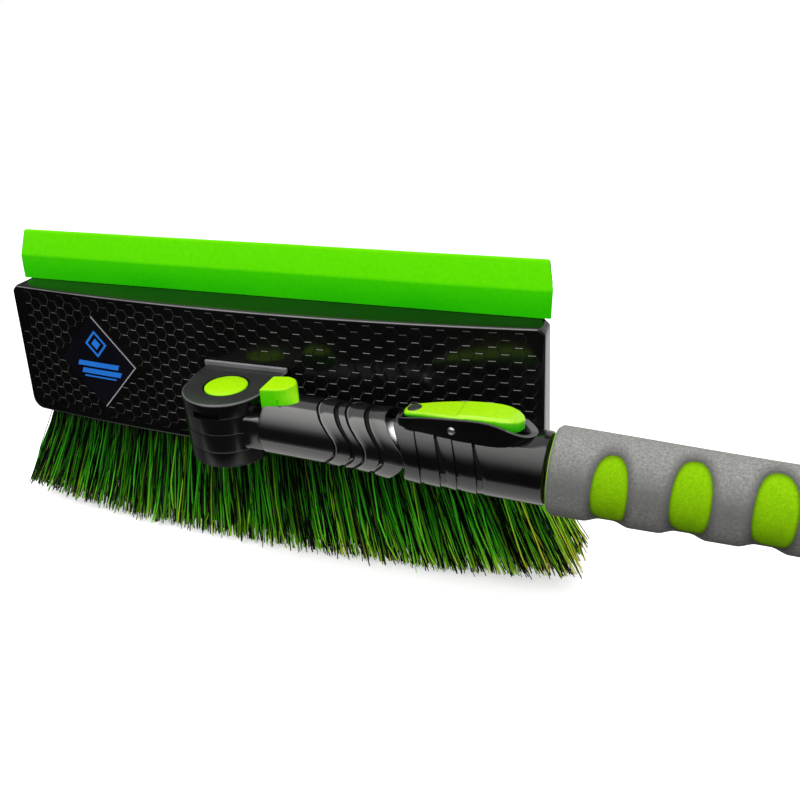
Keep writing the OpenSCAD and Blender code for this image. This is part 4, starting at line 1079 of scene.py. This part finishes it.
def make_front_grip():
    """The long grip: waisted, dented for the fingers, with lime windows in its grey skin."""
    start, end = 164.8, 398.0
    end_r, waist_r = 19.8, 17.9
    dents, first_dent, pitch, dent_half, dent_angle = 7, 189.5, 30.5, 8.0, -25
    xs = np.unique(np.round(np.concatenate([start + END_STEPS, np.arange(start + 3.0, end - 3, 0.72),
                                            end - END_STEPS]), 3))
    theta = np.arange(-180, 180, 2.4)
    x, t = np.meshgrid(xs, theta, indexing="ij")
    along = np.clip((x - start) / (end - start), 0, 1)
    r = end_r - (end_r - waist_r) * np.sin(math.pi * along) ** 1.4
    edge = np.minimum(x - start, end - x)
    r = r - 1.3 * (1 - smoothstep(0, 2.4, edge)) ** 2
    off = (t - dent_angle + 180) % 360 - 180
    dent = np.full(x.shape, 9.0)
    for k in range(dents):
        reach = np.abs((x - first_dent - pitch * k) / dent_half)
        dent = np.minimum(dent, (reach ** 2.3 + np.abs(off / 92.0) ** 3.2) ** (1 / 2.6))
    r = r - 2.0 * (1 - smoothstep(0.42, 1.2, dent))
    # The lime windows: each grid point near a window's outline is drawn onto it. The first two are a little
    # smaller and lower than the rest.
    windows = [(190.5, 9.5, 7.4, 54.0), (221.5, 17.0, 7.7, 57.5)]
    windows += [(251.8 + 30.9 * k, 18.5, 7.9, 59.5) for k in range(dents - 2)]
    window = np.full(x.shape, 9.0)
    for middle_x, middle_t, half_x, half_t in windows:
        u, v = (x - middle_x) / half_x, (t - middle_t) / half_t
        d = (np.abs(u) ** 2.3 + np.abs(v) ** 2.3) ** (1 / 2.3)
        near = (np.abs(d - 1) < 0.05) & (d > 0.2)
        x = np.where(near, middle_x + (x - middle_x) / np.maximum(d, 0.2), x)
        t = np.where(near, middle_t + (t - middle_t) / np.maximum(d, 0.2), t)
        window = np.minimum(window, np.where(near, 1.0, d))
    points = polar(x, r, t).reshape(-1, 3)
    # painted shade: darker bands on the skin and the core just round each window's edge
    window_shade = np.exp(-((window - 1.03) / 0.11) ** 2) * 0.9
    window_shade = np.maximum(window_shade, 0.5 * np.exp(-((window - 1.12) / 0.18) ** 2)).reshape(-1)
    faces = grid(len(xs), len(theta), wrap=True)
    middle = window.reshape(-1)[faces].mean(1)
    lengthwise = points[faces][:, :, 0].mean(1)
    lime = (middle < 1.0) | (lengthwise < start + 0.2) | (lengthwise > end - 0.2)
    grip_pieces(points, theta, faces, lime, window_shade, (start, end), ("grip_dents", "front_grip_core"),
                ("grip_skin", "front_grip_skin"))


def make_rear_grip():
    """The short grip at the rear: five ring grooves let the lime core show through its grey skin."""
    start, end, n = 560.0, 688.0, 96
    theta = np.linspace(-180, 180, n, endpoint=False)
    xs = np.unique(np.concatenate([[start, start + 0.5, start + 1.3, end - 1.3, end - 0.5, end],
                                   np.arange(start + 2, end - 2, 1.0)]))
    x, t = np.meshgrid(xs, theta, indexing="ij")
    edge = np.minimum(x - start, end - x)
    groove = np.zeros_like(x)
    for k in range(5):
        groove = np.maximum(groove, np.exp(-((x - start - 24 - 20 * k) / 1.6) ** 2))
    r = 17.75 - 1.1 * (1 - smoothstep(0, 2.2, edge)) ** 2 - 1.2 * groove
    points = polar(x, r, t).reshape(-1, 3)
    faces = grid(len(xs), n, wrap=True)
    lengthwise = points[faces][:, :, 0]
    at_end = (lengthwise.min(1) < start + 0.4) | (lengthwise.max(1) > end - 0.4)
    lime = (groove.reshape(-1)[faces].mean(1) > 0.45) | at_end
    grip_pieces(points, theta, faces, lime, np.zeros(len(points)), (start, end),
                ("rear_grip_rings", "rear_grip_core"), ("rear_grip_cover", "rear_grip_skin"))


make_front_grip()
make_rear_grip()

# ------------------------------------------------------------------ scraper

softened("scraper_head", "handle", [satin_black], width=0.7, segments=3)
softened("scraper_blade", "handle", [blade_lime], width=0.25, segments=2)

# ------------------------------------------------------------------ CAD nodes that stay

kept = {name: steel_metal for name in (
    "block_screws", "cover_screws", "bracket_screws", "pivot_bolt", "pivot_nut", "neck_screws", "pivot_bush",
    "pole_rivet", "lever_rivet", "lever_spring", "scraper_screws", "scraper_pin")}
kept.update(inner_pole=aluminium, pole_end_bush=matt_black, collar_bush=matt_black, collar_screw=pin_metal,
            outer_tube=tube_paint)
for name, look in kept.items():
    obj = frame["nodes"][name]
    if not obj.material_slots:
        obj.data.materials.append(look)
    for s in obj.material_slots:
        s.material = look

# ------------------------------------------------------------------ floor, light and camera

FLOOR_HALF, FLOOR_Z = 30, -0.0006

floor_mesh = bpy.data.meshes.new("floor")
floor_corners = [(x * FLOOR_HALF, y * FLOOR_HALF, FLOOR_Z) for x, y in ((-1, -1), (1, -1), (1, 1), (-1, 1))]
floor_mesh.from_pydata(floor_corners, [], [(0, 1, 2, 3)])
floor = bpy.data.objects.new("floor", floor_mesh)
bpy.context.collection.objects.link(floor)
paper = Look("paper")
paper.set(Base_Color=paper.mix(paper.noise(9, 3), (0.88, 0.88, 0.88), (0.91, 0.91, 0.91)), Roughness=0.9,
          Specular_IOR_Level=0.1, Emission_Color=(1, 1, 1), Emission_Strength=0.5)
floor_mesh.materials.append(paper.material)
floor.visible_glossy = False
floor.visible_diffuse = False

world = bpy.data.worlds.new("studio")
bpy.context.scene.world = world
world.use_nodes = True
sky = Graph(world.node_tree)

# The studio as gloss sees it: a big soft light in front and above, dark between it and a pale table.
# Each stop is an angle up from straight in front, and a brightness.
stops = [(-180, 0.3), (-60, 0.33), (-41, 0.3), (-38, 0.006), (2, 0.006), (15, 0.09), (31, 0.38),
         (56, 0.75), (97, 1.0), (100, 0.27), (180, 0.22)]
way = sky.add("ShaderNodeTexCoord").outputs["Generated"]
side, back, up_way = sky.add("ShaderNodeSeparateXYZ", {0: way}).outputs
angle = sky.math("ARCTAN2", up_way, sky.math("MULTIPLY", back, -1))
ramp = sky.add("ShaderNodeValToRGB", {0: sky.spread(angle, 0, 1, -math.pi, math.pi)})
while len(ramp.color_ramp.elements) < len(stops):
    ramp.color_ramp.elements.new(0.5)
for element, (degrees, level) in zip(ramp.color_ramp.elements, stops):
    element.position = (degrees + 180) / 360
    element.color = (level, level * 0.985, level * 0.97, 1)
wings = sky.spread(sky.math("ABSOLUTE", side), 3.0, 0.42, 0.5, 0.75)
gloss = sky.add("ShaderNodeBackground", {"Color": ramp.outputs[0], "Strength": wings})

# Matt surfaces see a plain light that is stronger from above, and the camera sees white
height = sky.spread(up_way, 0.05, 1.15, -0.6, 1.0)
soft = sky.add("ShaderNodeBackground", {"Color": (1, 1, 1), "Strength": height})
plain = sky.add("ShaderNodeBackground", {"Color": (1, 1, 1)})
ray = sky.add("ShaderNodeLightPath").outputs
lit = sky.add("ShaderNodeMixShader", {0: ray["Is Glossy Ray"], 1: soft.outputs[0], 2: gloss.outputs[0]})
seen = sky.add("ShaderNodeMixShader", {0: ray["Is Camera Ray"], 1: lit.outputs[0], 2: plain.outputs[0]})
sky.add("ShaderNodeOutputWorld", {0: seen.outputs[0]})


def softbox(name, at, target, size, watts, glossy):
    """A rectangular lamp aimed at a point. glossy says whether reflections show it."""
    light = bpy.data.lights.new(name, "AREA")
    light.shape = "RECTANGLE"
    light.size, light.size_y = size
    light.energy = watts
    obj = bpy.data.objects.new(name, light)
    bpy.context.collection.objects.link(obj)
    obj.location = at
    obj.rotation_euler = (Vector(target) - Vector(at)).to_track_quat("-Z", "Y").to_euler()
    obj.visible_glossy = glossy


softbox("key", (-0.4, -0.8, 1.9), (-0.2, 0, 0.1), (1.2, 1.2), 19, False)

# The camera, fitted to the photograph: its place in millimetres from the pivot, and where it looks
CAMERA_AT = Vector((218.95, -293.6, 189.63))
AZIMUTH, ELEVATION, ROLL = math.radians(23.13), math.radians(27.57), math.radians(-2.74)
LENS, SENSOR = 35.81, 36

camera_data = bpy.data.cameras.new("camera")
camera = bpy.data.objects.new("camera", camera_data)
bpy.context.collection.objects.link(camera)
level_x, level_y = -math.sin(AZIMUTH) * math.cos(ELEVATION), math.cos(AZIMUTH) * math.cos(ELEVATION)
ahead = Vector((level_x, level_y, -math.sin(ELEVATION)))
right = Vector((math.cos(AZIMUTH), math.sin(AZIMUTH), 0))
up = right.cross(ahead)
right, up = right * math.cos(ROLL) + up * math.sin(ROLL), up * math.cos(ROLL) - right * math.sin(ROLL)
turned = Matrix((right, up, -ahead)).transposed().to_4x4()
camera.matrix_world = Matrix.Translation(Vector(PIVOT) + CAMERA_AT * MM) @ turned
camera_data.sensor_width = SENSOR
camera_data.lens = LENS
camera_data.clip_start = 0.01
bpy.context.scene.camera = camera
bpy.context.scene.view_settings.view_transform = "Standard"
bpy.context.scene.view_settings.look = "None"
